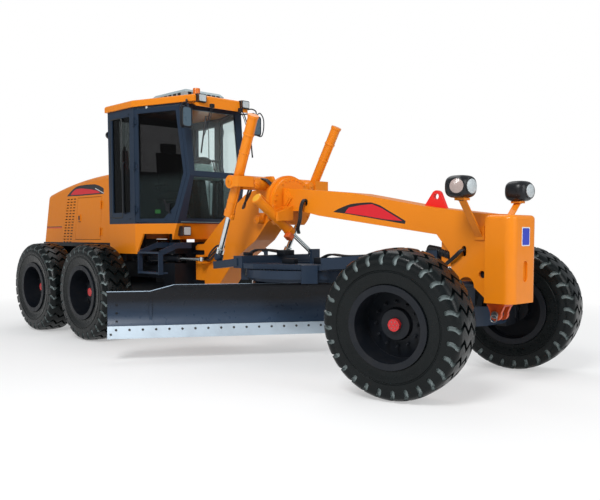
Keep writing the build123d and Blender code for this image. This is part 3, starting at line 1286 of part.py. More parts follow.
def blade_carrier():
    """Tilting carrier: pivot tube, uprights, rail shoes and the side cylinder's barrel."""
    tube = bar((-ARM_S - ARM_T, -TILT_N, TILT_Z), (ARM_S + ARM_T, -TILT_N, TILT_Z), TILT_TUBE_R)
    pieces = []
    reach = SHOE_SIZE / 2
    for sign in (-1, 1):
        s = sign * CARRIER_S
        upright = back_profile([(-RAIL_N + reach - 4, RAIL_HEIGHTS[0] - reach + 5),
                                (-TILT_N + 31, TILT_Z - 60),
                                (-TILT_N + 31, TILT_Z + 60),
                                (-RAIL_N + reach - 4, RAIL_HEIGHTS[1] + reach - 5)],
                               (s - 30, s + 30))
        pieces.append(upright)
        for z in RAIL_HEIGHTS:
            shoe = block((s - 45, s + 45), (-RAIL_N - reach, -RAIL_N + reach), (z - reach, z + reach))
            shoe -= block((s - 46, s + 46), (-RAIL_N - RAIL_SIZE / 2 - SHOE_GAP,
                                             -RAIL_N + RAIL_SIZE / 2 + SHOE_GAP),
                          (z - RAIL_SIZE / 2 - SHOE_GAP, z + RAIL_SIZE / 2 + SHOE_GAP))
            pieces.append(shoe)
        web = block((s - 45, s + 45), (-RAIL_N + 20, -RAIL_N + reach),
                    (RAIL_HEIGHTS[0] + reach - 2, RAIL_HEIGHTS[1] - reach + 2))
        pieces.append(web)
    rod_z = (RAIL_HEIGHTS[0] + RAIL_HEIGHTS[1]) / 2
    barrel = bar((SIDE_BARREL[0], -RAIL_N, rod_z), (SIDE_BARREL[1], -RAIL_N, rod_z), SIDE_BARREL_R)
    bore = bar((SIDE_BARREL[0] - 1, -RAIL_N, rod_z), (SIDE_BARREL[1] - 24, -RAIL_N, rod_z),
               SIDE_ROD_R + SHOE_GAP)
    lugs = []
    for sign in (-1, 1):
        s = sign * TILT_EAR_S
        lugs.append(block((s - 12, s + 12), (-TILT_N - 30, -TILT_N + 34), (TILT_Z, TILT_EYE[1] + 34)))
    return blade_place() * (tube.fuse(*pieces, barrel, *lugs) - bore)


def tilt_points():
    """Anchor on the circle and eye on the carrier of the tilt cylinder, in the blade frame."""
    return Vector(0, *TILT_ANCHOR), Vector(0, *TILT_EYE)


def tilt_barrel():
    """Tilt cylinder's barrel and its eye at the circle."""
    anchor, eye = tilt_points()
    rear, gland = toward(anchor, eye, TILT_BARREL[0]), toward(anchor, eye, TILT_BARREL[1])
    ring = bar(anchor - Vector(36, 0, 0), anchor + Vector(36, 0, 0), 32)
    hole = bar(anchor - Vector(37, 0, 0), anchor + Vector(37, 0, 0), TILT_PIN_R + RUNNING_GAP)
    return blade_place() * (cylinder_barrel(rear, gland, TILT_BARREL_R, TILT_ROD_R, 20).fuse(ring) - hole)


def tilt_rod():
    """Tilt cylinder's chrome rod and its eye at the carrier."""
    anchor, eye = tilt_points()
    rod = bar(toward(eye, anchor, TILT_ROD_LENGTH), toward(eye, anchor, 20), TILT_ROD_R)
    ring = bar(eye - Vector(34, 0, 0), eye + Vector(34, 0, 0), 28)
    return blade_place() * rod.fuse(ring)


# ---------------------------------------------------------------- front axle
def front_axle():
    """Axle beam with the forks' lean pins between its cheeks, and the pedestal under the nose."""
    x0, x1 = AXLE_X - AXLE_HALF_DEPTH, AXLE_X + AXLE_HALF_DEPTH
    end = LEAN_PIN_Y
    plane = Plane(origin=(x0, 0, 0), x_dir=(0, 1, 0), z_dir=(1, 0, 0))
    outline = [(-end, LEAN_PIN_Z - 66), (-300, AXLE_Z[0]), (300, AXLE_Z[0]), (end, LEAN_PIN_Z - 66),
               (end, LEAN_PIN_Z + 66), (300, AXLE_Z[1]), (-300, AXLE_Z[1]), (-end, LEAN_PIN_Z + 66)]
    beam = extrude(plane * make_face(Polyline(*outline, close=True)), x1 - x0)
    slot = AXLE_HALF_DEPTH - AXLE_CHEEK_T
    for side in (-1, 1):
        y = side * LEAN_PIN_Y
        beam = beam.fuse(bar((x0, y, LEAN_PIN_Z), (x1, y, LEAN_PIN_Z), 66))
        cut = sorted((y - side * 100, y + side * 80))
        beam -= block((AXLE_X - slot, AXLE_X + slot), cut, (LEAN_PIN_Z - 200, LEAN_PIN_Z + 200))
        beam = beam.fuse(bar((x0 - 14, y, LEAN_PIN_Z), (x1 + 14, y, LEAN_PIN_Z), LEAN_PIN_R))
    beam = axle_place() * beam
    return beam.fuse(pedestal())


def pedestal():
    """Block between the axle beam and the underside of the front frame."""
    front, rear = [(AXLE_X + x, z) for x, z in UNDER_FRONT[1:3]]
    x0, x1 = AXLE_X - AXLE_HALF_DEPTH + 8, AXLE_X + 60
    low = AXLE_Z[1] - 60
    drop = 2 * SEAT_GAP
    slope = (front[1] - rear[1]) / (front[0] - rear[0])
    seat_x = rear[0] + 4
    seat = (seat_x, rear[1] + slope * 4 - drop)
    foot = (front[0], front[1] - drop)
    return side_profile([(x0, low), (x1 - 20, low), (x1 - 20, 800), (front[0], 900), foot, seat,
                         (seat_x, 1060),
                         (x0, 900)], (-PEDESTAL_HALF, PEDESTAL_HALF))


def fork(side):
    """Steering fork on the lean pin: tongue, web, two ears round the kingpin and the lean bar's arm."""
    x, pin_y, king_y = AXLE_X, LEAN_PIN_Y, KINGPIN_Y
    tongue = AXLE_HALF_DEPTH - AXLE_CHEEK_T - FORK_GAP
    low, high = TYRE_R - FORK_EAR_Z[1], TYRE_R + FORK_EAR_Z[1]
    boss = bar((x - tongue, pin_y, LEAN_PIN_Z), (x + tongue, pin_y, LEAN_PIN_Z), LEAN_BOSS_R)
    neck = block((x - tongue, x + tongue), (pin_y, pin_y + 90), (LEAN_PIN_Z - 52, LEAN_PIN_Z + 52))
    web = block((x - FORK_HALF, x + FORK_HALF), (pin_y + 78, king_y - KNUCKLE_R - 8), (low, high))
    pieces = [neck, web]
    for sign in (-1, 1):
        z = sorted((TYRE_R + sign * FORK_EAR_Z[0], TYRE_R + sign * FORK_EAR_Z[1]))
        pieces.append(block((x - KNUCKLE_R, x + KNUCKLE_R), (king_y - KNUCKLE_R - 10, king_y), z))
        pieces.append(bar((x, king_y, z[0]), (x, king_y, z[1]), KNUCKLE_R))
    arm = back_profile([(pin_y - 30, LEAN_PIN_Z), (pin_y - 30, LEAN_BAR_Z + 34),
                        (pin_y + 34, LEAN_BAR_Z + 34),
                        (pin_y + 130, high), (pin_y + 130, LEAN_PIN_Z)], (x - tongue, x + tongue))
    pieces.append(arm)
    collar_end = LEAN_BAR_X - 32
    pieces.append(bar((x, pin_y, LEAN_BAR_Z), (collar_end, pin_y, LEAN_BAR_Z), 34))
    pieces.append(bar((collar_end - 10, pin_y, LEAN_BAR_Z), (LEAN_BAR_X + 30, pin_y, LEAN_BAR_Z),
                      LEAN_EYE_PIN_R))
    body = boss.fuse(*pieces)
    body -= bar((x - tongue - 1, pin_y, LEAN_PIN_Z), (x + tongue + 1, pin_y, LEAN_PIN_Z),
                LEAN_PIN_R + RUNNING_GAP)
    body -= bar((x, king_y, low - 1), (x, king_y, high + 1), KINGPIN_R + RUNNING_GAP)
    return lean_place(side) * (body if side > 0 else mirrored(body))


def knuckle(side):
    """Steering knuckle between the fork's ears: kingpin, boss and the wheel's spindle."""
    x, king_y = AXLE_X, KINGPIN_Y
    reach = FORK_EAR_Z[0] - 2
    boss = bar((x, king_y, TYRE_R - reach), (x, king_y, TYRE_R + reach), KNUCKLE_R)
    pin = bar((x, king_y, TYRE_R - FORK_EAR_Z[1]), (x, king_y, TYRE_R + FORK_EAR_Z[1]), KINGPIN_R)
    spindle = bar((x, king_y, TYRE_R), (x, TRACK_HALF - HUB_DEPTH, TYRE_R), AXLE_STUB_R)
    end = Pos(x, TRACK_HALF, TYRE_R) * stub()
    body = boss.fuse(pin, spindle, end)
    return steer_place(side) * (body if side > 0 else mirrored(body))


def lean_bar():
    """Bar between the two forks' upper pins, which makes both wheels lean alike."""
    span = AXLE_HALF_DEPTH - AXLE_CHEEK_T - FORK_GAP - 14
    right = (lean_place(-1) * Pos(LEAN_BAR_X, -LEAN_PIN_Y, LEAN_BAR_Z)).position
    left = (lean_place(1) * Pos(LEAN_BAR_X, LEAN_PIN_Y, LEAN_BAR_Z)).position
    width = Vector(span, 0, 0)
    body = bar(right, left, LEAN_BAR_R - 4)
    body = body.fuse(bar(right - width, right + width, LEAN_EYE_R),
                     bar(left - width, left + width, LEAN_EYE_R))
    body -= bar(right - width * 1.1, right + width * 1.1, LEAN_EYE_PIN_R + RUNNING_GAP)
    return body - bar(left - width * 1.1, left + width * 1.1, LEAN_EYE_PIN_R + ROD_GAP)


# ---------------------------------------------------------------- all nodes
def build():
    """All nodes by name, in the working frame."""
    nodes = {
        "rear_frame": rear_frame(),
        "tandem_cases": tandem_cases(),
        "engine_block": engine_block(),
        "hood": hood(),
        "cab_floor": cab_floor(),
        "cab_frame": cab_frame(),
        "cab_glass": cab_glass(),
        "cab_roof": cab_roof(),
        "ac_unit": ac_unit(),
        "seat": seat(),
        "console": console(),
        "steps": steps(),
        "front_frame": front_frame(),
        "lifting_lug": lifting_lug(),
        "tow_lug": tow_lug(),
        "saddle": saddle(),
        "lamp_arms": lamp_arms(),
        "head_lamps": head_lamps(),
        "front_axle": front_axle(),
        "lean_bar": lean_bar(),
        "drawbar": drawbar(),
        "circle": circle(),
        "blade_carrier": blade_carrier(),
        "moldboard": moldboard(),
        "cutting_edge": cutting_edge(),
        "tilt_barrel": tilt_barrel(),
        "tilt_rod": tilt_rod(),
        "shift_barrel": shift_barrel(),
        "shift_rod": shift_rod(),
    }
    tyre_shape, rim_shape = tyre(), rim()
    for name, side in (("left", 1), ("right", -1)):
        nodes[f"hood_door_{name}"] = hood_door(side)
        nodes[f"cab_door_{name}"] = door_frame(side)
        nodes[f"door_glass_{name}"] = door_glass(side)
        nodes[f"lift_barrel_{name}"] = lift_barrel(side)
        nodes[f"lift_rod_{name}"] = lift_rod(side)
        nodes[f"articulation_barrel_{name}"] = articulation_barrel(side)
        nodes[f"articulation_rod_{name}"] = articulation_rod(side)
        nodes[f"fork_{name}"] = fork(side)
        nodes[f"knuckle_{name}"] = knuckle(side)
        places = {
            "front": front_wheel_place(side),
            "middle": wheel_place(TANDEM_HALF, side),
            "rear": wheel_place(-TANDEM_HALF, side),
        }
        for row, place in places.items():
            nodes[f"tyre_{row}_{name}"] = place * tyre_shape
            nodes[f"rim_{row}_{name}"] = place * rim_shape
    return nodes


if __name__ == "__main__":
    os.makedirs("parts", exist_ok=True)
    for node, shape in build().items():
        export_step(Pos(*EXPORT_SHIFT) * shape, f"parts/{node}.step")
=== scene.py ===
"""Dresses the motor grader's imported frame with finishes, tyres, trim, lamps, hoses and glass."""

import json
import logging
from dataclasses import dataclass, field
from enum import Enum
from math import cos, pi, radians, sin
from typing import Sequence

import bmesh
import bpy
import numpy as np
from mathutils import Matrix, Vector

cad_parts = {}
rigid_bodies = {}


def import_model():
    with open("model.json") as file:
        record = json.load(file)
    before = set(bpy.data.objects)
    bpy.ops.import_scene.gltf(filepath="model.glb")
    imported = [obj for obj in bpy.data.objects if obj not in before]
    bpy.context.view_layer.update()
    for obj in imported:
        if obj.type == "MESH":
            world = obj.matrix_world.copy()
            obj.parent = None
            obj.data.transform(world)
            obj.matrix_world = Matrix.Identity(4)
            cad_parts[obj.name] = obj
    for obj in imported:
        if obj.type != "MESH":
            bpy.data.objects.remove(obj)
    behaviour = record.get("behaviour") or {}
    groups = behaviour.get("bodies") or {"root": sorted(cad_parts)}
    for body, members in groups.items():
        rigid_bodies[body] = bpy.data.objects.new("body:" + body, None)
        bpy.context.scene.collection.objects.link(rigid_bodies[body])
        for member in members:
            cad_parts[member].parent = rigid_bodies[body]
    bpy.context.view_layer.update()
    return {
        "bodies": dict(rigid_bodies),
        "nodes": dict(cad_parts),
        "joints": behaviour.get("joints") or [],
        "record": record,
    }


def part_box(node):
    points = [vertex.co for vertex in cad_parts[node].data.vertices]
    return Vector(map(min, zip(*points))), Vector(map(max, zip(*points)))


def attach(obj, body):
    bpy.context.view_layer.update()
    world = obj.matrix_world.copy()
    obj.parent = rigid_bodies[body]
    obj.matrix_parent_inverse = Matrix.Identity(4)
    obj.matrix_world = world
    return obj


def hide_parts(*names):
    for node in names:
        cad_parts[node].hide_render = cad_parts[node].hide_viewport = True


LOG = logging.getLogger("grader")
# All shapes but the wheels' are drawn in millimetres from an origin on the ground under the tandem's
# centre, on the machine's middle plane. This carries them to the frame's origin.
DRAWING_SHIFT_MM = np.array([-2468.0, 250.0, 0.0])
SHARP_ANGLE = radians(34)
REAR, FRONT = "rear_frame", "front_frame"
AHEAD, ASTERN, LEFTWARD, RIGHTWARD, UPWARD = (1, 0, 0), (-1, 0, 0), (0, 1, 0), (0, -1, 0), (0, 0, 1)

Colour = tuple[float, float, float]
Point = Sequence[float]
Outline = Sequence[Point]
Socket = bpy.types.NodeSocket


class Side(Enum):
    """Side of the machine, with the sign of its Y."""

    LEFT = 1
    RIGHT = -1

    @property
    def word(self) -> str:
        """The side's word in node names."""
        return self.name.lower()

    @property
    def mirror(self) -> np.ndarray:
        """Matrix that carries what is drawn on the right to this side."""
        return np.diag([1.0, -self.value, 1.0, 1.0])


# ---------------------------------------------------------------- shapes
@dataclass
class Shape:
    """A mesh as arrays: points, and faces of any number of corners."""

    points: np.ndarray
    faces: list

    def flipped(self) -> "Shape":
        """The shape with its faces turned round."""
        return Shape(self.points, [tuple(reversed(face)) for face in self.faces])

    def moved(self, matrix: np.ndarray) -> "Shape":
        """The shape carried by a 4x4 matrix; a mirroring one turns its faces round."""
        carried = Shape(self.points @ matrix[:3, :3].T + matrix[:3, 3], self.faces)
        return carried.flipped() if np.linalg.det(matrix[:3, :3]) < 0 else carried

    def at(self, x: float = 0, y: float = 0, z: float = 0) -> "Shape":
        """The shape moved along X, Y and Z."""
        return self.moved(shifted(x, y, z))

    def along(self, axis: Point, origin: Point) -> "Shape":
        """The shape with its Z along an axis and its origin at a point."""
        return self.moved(frame_along(axis, origin))

    def __add__(self, other: "Shape") -> "Shape":
        """Both shapes as one mesh."""
        return joined([self, other])


def joined(shapes: Sequence[Shape]) -> Shape:
    """One shape from many, their points stacked and their faces renumbered."""
    starts = np.cumsum([0] + [len(shape.points) for shape in shapes])
    faces = [tuple(int(index + start) for index in face)
             for shape, start in zip(shapes, starts) for face in shape.faces]
    return Shape(np.concatenate([shape.points for shape in shapes]), faces)


def repeated(shape: Shape, matrices: Sequence[np.ndarray]) -> Shape:
    """Copies of a shape, one for each 4x4 matrix."""
    return joined([shape.moved(matrix) for matrix in matrices])


def grid(points: np.ndarray, wrap_u: bool = False, wrap_v: bool = False, caps: bool = False) -> Shape:
    """Surface through a grid of points.

    Cell (i, j) is the quad of rows i, i+1 and columns j, j+1; a wrapped direction joins its
    last row to its first.

    Args:
        points: Array of rows x columns x 3.
        wrap_u: Whether rows close on themselves.
        wrap_v: Whether columns close on themselves.
        caps: Whether the first and last row are filled with one face each.

    Returns:
        The surface.
    """
    rows, columns = points.shape[:2]
    i, j = np.meshgrid(np.arange(rows - (not wrap_u)), np.arange(columns - (not wrap_v)), indexing="ij")
    i, j = i.ravel(), j.ravel()
    i2, j2 = (i + 1) % rows, (j + 1) % columns
    quads = np.stack([i * columns + j, i2 * columns + j, i2 * columns + j2, i * columns + j2], axis=1)
    faces = [tuple(face) for face in quads.tolist()]
    if caps:
        faces.append(tuple(range(columns)))
        faces.append(tuple(reversed(range((rows - 1) * columns, rows * columns))))
    return Shape(points.reshape(-1, 3), faces)


def skin(points: np.ndarray) -> Shape:
    """Closed surface through rings of points that go up counter-clockwise."""
    return grid(points, wrap_v=True, caps=True).flipped()


def stacked(rings: Sequence[np.ndarray], heights: Point) -> Shape:
    """Closed surface through flat rings at heights along local Z."""
    return skin(np.stack([np.column_stack([ring, np.full(len(ring), z)]) for ring, z in zip(rings, heights)]))


def circle(steps: int) -> np.ndarray:
    """Angles of even steps round a circle."""
    return np.linspace(0, 2 * pi, steps, endpoint=False)


def unit(vectors: np.ndarray | Point) -> np.ndarray:
    """Vectors at length one."""
    vectors = np.asarray(vectors, float)
    return vectors / np.linalg.norm(vectors, axis=-1, keepdims=True)


def basis(first: Point, second: Point, origin: Point) -> np.ndarray:
    """Matrix of two columns, their cross product and an origin."""
    matrix = np.eye(4)
    matrix[:3] = np.column_stack([first, second, np.cross(first, second), origin])
    return matrix


def frame_along(axis: Point, origin: Point = (0, 0, 0)) -> np.ndarray:
    """Matrix whose third column is the axis and whose second one leans upward."""
    third = unit(axis)
    first = unit(np.cross(AHEAD if abs(third[2]) > 0.999 else UPWARD, third))
    return basis(first, np.cross(third, first), origin)


def shifted(x: float = 0, y: float = 0, z: float = 0) -> np.ndarray:
    """Translation matrix."""
    matrix = np.eye(4)
    matrix[:3, 3] = (x, y, z)
    return matrix


def turned(angle: float, axis: str = "Z") -> np.ndarray:
    """Turn about the X, Y or Z axis, in radians."""
    return np.array(Matrix.Rotation(angle, 4, axis))


def revolved(profile: Outline, steps: int = 48) -> Shape:
    """Solid of revolution about local Z: point (r, h) of the profile goes to (r cos t, r sin t, h).

    Args:
        profile: Radius and height pairs, going up the outside.
        steps: Facets round the axis.

    Returns:
        The surface, with a face at each end.
    """
    radius, height = np.array(profile, float).T[:, :, None]
    turn = circle(steps)
    return skin(np.stack([radius * np.cos(turn), radius * np.sin(turn), height + 0 * turn], axis=2))


def prism(outline: Outline, low: float, high: float) -> Shape:
    """Outline in local XY, either way round, carried from height low to height high."""
    flat = np.array(outline, float)
    area = np.sum(flat[:, 0] * np.roll(flat[:, 1], -1) - np.roll(flat[:, 0], -1) * flat[:, 1])
    flat = flat[::-1] if area < 0 else flat
    return stacked([flat, flat], (low, high))


def rounded_rectangle(half_x: float, half_y: float, radius: float, steps: int = 4) -> np.ndarray:
    """Outline of a rectangle with quarter-circle corners, counter-clockwise."""
    turn = np.linspace(0, pi / 2, steps + 1)
    x, y = half_x - radius, half_y - radius
    return np.concatenate([
        np.column_stack([a + radius * np.cos(turn + start), b + radius * np.sin(turn + start)])
        for a, b, start in ((x, y, 0), (-x, y, pi / 2), (-x, -y, pi), (x, -y, 3 * pi / 2))])


def rounded_box(size: Point, radius: float, steps: int = 3) -> Shape:
    """Box about the origin whose edges along local Z and whose rims have a radius.

    The outline is a rounded rectangle; rings of it are carried up in Z with the inset that a
    quarter circle gives at the two rims.
    """
    half = np.asarray(size, float) / 2
    radius = min(radius, *(half * 0.98))
    turn = np.linspace(0, pi / 2, steps + 1)
    rise, fall = radius * np.sin(turn), radius * (1 - np.cos(turn))
    inset = np.concatenate([radius - rise, fall])
    heights = np.concatenate([fall - half[2], half[2] - radius + rise])
    rings = [rounded_rectangle(half[0] - a, half[1] - a, max(radius - a, radius * 0.08), steps)
             for a in inset]
    return stacked(rings, heights)


def smooth_path(points: Outline, count: int) -> np.ndarray:
    """Catmull-Rom curve: a cubic between each two points, with the slope of their neighbours."""
    p = np.asarray(points, float)
    p = np.concatenate([[2 * p[0] - p[1]], p, [2 * p[-1] - p[-2]]])
    place = np.linspace(0, len(p) - 3 - 1e-6, count)
    k = place.astype(int)
    t = (place - k)[:, None]
    a, b, c, d = p[k], p[k + 1], p[k + 2], p[k + 3]
    return 0.5 * (2 * b + (c - a) * t + (2 * a - 5 * b + 4 * c - d) * t**2 + (3 * b - a - 3 * c + d) * t**3)


def around(line: np.ndarray, first: np.ndarray, second: np.ndarray,
           radius: float | np.ndarray, sides: int) -> np.ndarray:
    """Rings of points round a line, each spanned by its two directions."""
    turn = circle(sides)[None, :, None]
    first, second = first.reshape(-1, 1, 3), second.reshape(-1, 1, 3)
    return line[:, None, :] + radius * (np.cos(turn) * first + np.sin(turn) * second)


def tube(path: np.ndarray, radius: float, sides: int) -> Shape:
    """Round tube along a path, each ring square to the mean of its two runs.

    A ring's first direction is the last ring's, less its part along the run.
    """
    runs = unit(np.gradient(path, axis=0))
    normal = np.cross(runs[0], (0.31, 0.17, 0.94))
    normals = []
    for run in runs:
        normal = unit(normal - run * (normal @ run))
        normals.append(normal)
    return skin(around(path, np.array(normals), np.cross(runs, normals), radius, sides))


def hexagon_bolt(radius: float, height: float) -> Shape:
    """Six-sided bolt head standing up from z = 0, with a chamfered top."""
    return revolved([(radius, 0), (radius, height * 0.8), (radius * 0.82, height)], 6)


def drawing(points: Outline) -> np.ndarray:
    """Points in the drawing's millimetres, as the frame's metres."""
    return (np.asarray(points, float) + DRAWING_SHIFT_MM) / 1000


# ---------------------------------------------------------------- finishes
@dataclass
class Graph:
    """Small helper that adds nodes to one tree."""

    tree: bpy.types.NodeTree

    def find(self, kind: str) -> bpy.types.Node:
        """The tree's node of a type."""
        return next(node for node in self.tree.nodes if node.type == kind)

    def add(self, kind: str, inputs: dict | None = None, **settings) -> bpy.types.Node:
        """Adds a node.

        Args:
            kind: Blender's node class, without ShaderNode.
            inputs: Socket name or number to a value or to another node's output.
            settings: Attributes of the node.

        Returns:
            The node.
        """
        node = self.tree.nodes.new("ShaderNode" + kind)
        for key, value in settings.items():
            setattr(node, key, value)
        for key, value in (inputs or {}).items():
            if isinstance(value, Socket):
                self.tree.links.new(value, node.inputs[key])
            elif isinstance(value, tuple) and node.inputs[key].type == "RGBA":
                node.inputs[key].default_value = (*value, 1)
            else:
                node.inputs[key].default_value = value
        return node

    def feed(self, name: str, value: Socket) -> None:
        """Joins a value to a socket of the material's shader."""
        self.tree.links.new(value, self.find("BSDF_PRINCIPLED").inputs[name])

    def place(self) -> Socket:
        """Object coordinates."""
        return self.add("TexCoord").outputs["Object"]

    def along(self, axis: str) -> Socket:
        """The object coordinate along X, Y or Z."""
        return self.add("SeparateXYZ", {0: self.place()}).outputs[axis]

    def noise(self, scale: float, detail: float = 4, stretch: Colour = (1, 1, 1)) -> Socket:
        """Noise value of so many waves a metre, stretched by a scale along each axis."""
        mapped = self.add("Mapping", {"Vector": self.place(), "Scale": stretch}).outputs[0]
        return self.add("TexNoise", {"Vector": mapped, "Scale": scale, "Detail": detail}).outputs["Fac"]

    def wave(self, scale: float, direction: str) -> Socket:
        """Wave value in bands along a direction."""
        inputs = {"Vector": self.place(), "Scale": scale}
        return self.add("TexWave", inputs, bands_direction=direction).outputs["Fac"]

    def ramp(self, value: Socket, low: float, high: float, bottom: float = 0.0, top: float = 1.0) -> Socket:
        """Value carried from the span low..high to the span bottom..top, held at its ends."""
        return self.add("MapRange", {0: value, 1: low, 2: high, 3: bottom, 4: top}).outputs[0]

    def mix(self, factor: Socket, first: Socket | Colour, second: Socket | Colour) -> Socket:
        """Colour between two, by a factor."""
        return self.add("Mix", {0: factor, 6: first, 7: second}, data_type="RGBA").outputs[2]

    def math(self, operation: str, first: Socket, second: Socket | float) -> Socket:
        """Two values joined by an operation."""
        return self.add("Math", {0: first, 1: second}, operation=operation).outputs[0]

    def bump(self, height: Socket, strength: float, distance: float) -> Socket:
        """Bumped normal from a height."""
        return self.add("Bump", {"Height": height, "Strength": strength, "Distance": distance}).outputs[0]

    def roughen(self, value: Socket, low: float, high: float) -> None:
        """Lets the roughness follow a noise between two values."""
        self.feed("Roughness", self.ramp(value, 0.3, 0.7, low, high))

    def seen(self, *kinds: str) -> Socket:
        """One for rays of these kinds and zero for all others."""
        rays = self.add("LightPath").outputs
        value = rays[kinds[0]]
        for kind in kinds[1:]:
            value = self.math("MAXIMUM", value, rays[kind])
        return value


def lighter(colour: Colour, factor: float) -> Colour:
    """A colour times a factor and a little more, held at white."""
    return tuple(min(1.0, c * factor + 0.01) for c in colour)


@dataclass(frozen=True)
class Finish:
    """Base of all finishes: a name, a colour, how it shines and the record's slot for its pieces."""

    name: str
    colour: Colour
    roughness: float = 0.5
    metallic: float = 0.0
    coat: float = 0.0
    specular: float = 0.5
    slot: str = "glass"

    def material(self) -> bpy.types.Material:
        """The finish's material, made once."""
        known = bpy.data.materials.get(self.name)
        if known:
            return known
        material = bpy.data.materials.new(self.name)
        material.use_nodes = True
        graph = Graph(material.node_tree)
        inputs = graph.find("BSDF_PRINCIPLED").inputs
        for key, value in (("Base Color", (*self.colour, 1)), ("Roughness", self.roughness),
                           ("Metallic", self.metallic), ("Coat Weight", self.coat),
                           ("Coat Roughness", 0.08), ("Specular IOR Level", self.specular)):
            inputs[key].default_value = value
        self.dress(graph)
        return material

    def dress(self, graph: Graph) -> None:
        """Adds the finish's own pattern; the base has none."""


@dataclass(frozen=True)
class Paint(Finish):
    """Sprayed paint: orange peel, faint tone changes, softened edges and road dust low down."""

    slot: str = "body_yellow"
    shade: Colour = (0.5, 0.13, 0.01)
    dust: float = 0.0
    edge: float = 0.004
    dust_colour: Colour = (0.16, 0.13, 0.10)

    def dress(self, graph: Graph) -> None:
        """Mixes a broad tone, then dust that fades out with height, and rounds edges in the normal."""
        base = graph.mix(graph.ramp(graph.noise(0.7, 3), 0.35, 0.7, 0.0, 0.35), self.colour, self.shade)
        low = graph.ramp(graph.along("Z"), 0.2, 1.5, self.dust, 0.0)
        patch = graph.math("MULTIPLY", graph.ramp(graph.noise(9, 6), 0.45, 0.75), low)
        graph.feed("Base Color", graph.mix(patch, base, self.dust_colour))
        graph.roughen(graph.noise(14, 5), self.roughness * 0.85, self.roughness * 1.2)
        peel = graph.bump(graph.noise(160, 2), 0.05, 0.002)
        graph.feed("Normal", graph.add("Bevel", {"Radius": self.edge, "Normal": peel}, samples=4).outputs[0])


@dataclass(frozen=True)
class Rubber(Finish):
    """Tyre rubber: near black, patchy, finely grained, with a painted highlight in the shoulder's slots."""

    slot: str = "tyre"
    patch_colour: Colour = (0.006, 0.009, 0.010)
    # pale painted highlight for the floors of the shoulder's slots
    slot_colour: Colour = (0.42, 0.50, 0.50)

    def dress(self, graph: Graph) -> None:
        """Mixes patches by broad noise and slots by the mesh's attribute, and adds a fine grain."""
        patch = graph.ramp(graph.noise(5, 6), 0.4, 0.75, 0.0, 0.55)
        # the mesh's slot attribute: each point's share of the painted highlight
        slot = graph.add("Attribute", attribute_name="slot").outputs["Fac"]
        base = graph.mix(patch, self.colour, self.patch_colour)
        graph.feed("Base Color", graph.mix(slot, base, self.slot_colour))
        graph.roughen(graph.noise(20, 4), self.roughness - 0.08, self.roughness + 0.12)
        graph.feed("Normal", graph.bump(graph.noise(110, 4), 0.25, 0.003))


@dataclass(frozen=True)
class BrushedSteel(Finish):
    """Ground steel: fine scratches along one axis and patches of wear."""

    slot: str = "dark_steel"
    stain: Colour = (0.30, 0.30, 0.31)
    stretch: Colour = (1, 1, 30)

    def dress(self, graph: Graph) -> None:
        """Stretched noise gives the scratches, broad noise the stains."""
        stain = graph.ramp(graph.noise(3, 6), 0.45, 0.75, 0.0, 0.6)
        graph.feed("Base Color", graph.mix(stain, self.colour, self.stain))
        scratches = graph.noise(20, 5, self.stretch)
        graph.roughen(scratches, self.roughness - 0.1, self.roughness + 0.15)
        graph.feed("Normal", graph.bump(scratches, 0.08, 0.001))


@dataclass(frozen=True)
class Moulded(Finish):
    """Moulded plastic, cast iron or hose rubber with a fine grain."""

    slot: str = "dark_plastic"
    grain: float = 240

    def dress(self, graph: Graph) -> None:
        """Fine noise moves the colour a little and bumps the skin."""
        tone = graph.ramp(graph.noise(8, 4), 0.3, 0.7, 0.0, 0.3)
        graph.feed("Base Color", graph.mix(tone, self.colour, lighter(self.colour, 1.5)))
        graph.feed("Normal", graph.bump(graph.noise(self.grain, 3), 0.2, 0.001))


@dataclass(frozen=True)
class Cloth(Finish):
    """Woven seat cloth: two crossed waves make the threads."""

    slot: str = "seat_fabric"
    threads: float = 260

    def dress(self, graph: Graph) -> None:
        """Crossed waves for the weave, in colour and height."""
        weave = graph.math("MULTIPLY", graph.wave(self.threads, "X"), graph.wave(self.threads, "Z"))
        tone = graph.ramp(weave, 0.0, 1.0, 0.0, 0.6)
        graph.feed("Base Color", graph.mix(tone, self.colour, lighter(self.colour, 2.2)))
        graph.feed("Normal", graph.bump(weave, 0.4, 0.001))


@dataclass(frozen=True)
class Polished(Paint):
    """Paint that goes from blue low on the blade to nearly black under its top edge."""

    top: Colour = (0.004, 0.005, 0.008)

    def dress(self, graph: Graph) -> None:
        """Fades the paint's colour to the top one by height, streaked along the blade."""
        super().dress(graph)
        streak = graph.math("MULTIPLY", graph.noise(3.0, 5, (0.4, 0.4, 6)), 0.10)
        fade = graph.ramp(graph.math("ADD", graph.along("Z"), streak), 0.50, 0.78)
        graph.feed("Base Color", graph.mix(fade, self.colour, self.top))


@dataclass(frozen=True)
class Pane(Finish):
    """Pane: see-through and smooth, with other colours low down and, where asked, on the right."""

    low: Colour = (0.3, 0.3, 0.3)
    side: Colour | None = None

    def dress(self, graph: Graph) -> None:
        """Blends the colours by height and by side, and makes the shine a little uneven."""
        inputs = graph.find("BSDF_PRINCIPLED").inputs
        inputs["Transmission Weight"].default_value = 0.96
        inputs["IOR"].default_value = 1.15
        tint = graph.mix(graph.ramp(graph.along("Z"), 2.20, 2.32), self.low, self.colour)
        if self.side:
            tint = graph.mix(graph.ramp(graph.along("Y"), -0.44, -0.42), self.side, tint)
        graph.feed("Base Color", tint)
        graph.feed("Roughness", graph.ramp(graph.noise(6, 4), 0.3, 0.8, 0.0, 0.02))


@dataclass(frozen=True)
class LampGlass(Finish):
    """Ribbed lamp lens, pale or coloured."""

    ribs: float = 60

    def dress(self, graph: Graph) -> None:
        """Ribs as a wave in height and colour."""
        wave = graph.wave(self.ribs, "DIAGONAL")
        deep = tuple(c * 0.45 for c in self.colour)
        graph.feed("Base Color", graph.mix(graph.ramp(wave, 0.2, 0.9, 0.0, 0.6), self.colour, deep))
        graph.feed("Normal", graph.bump(wave, 0.3, 0.002))


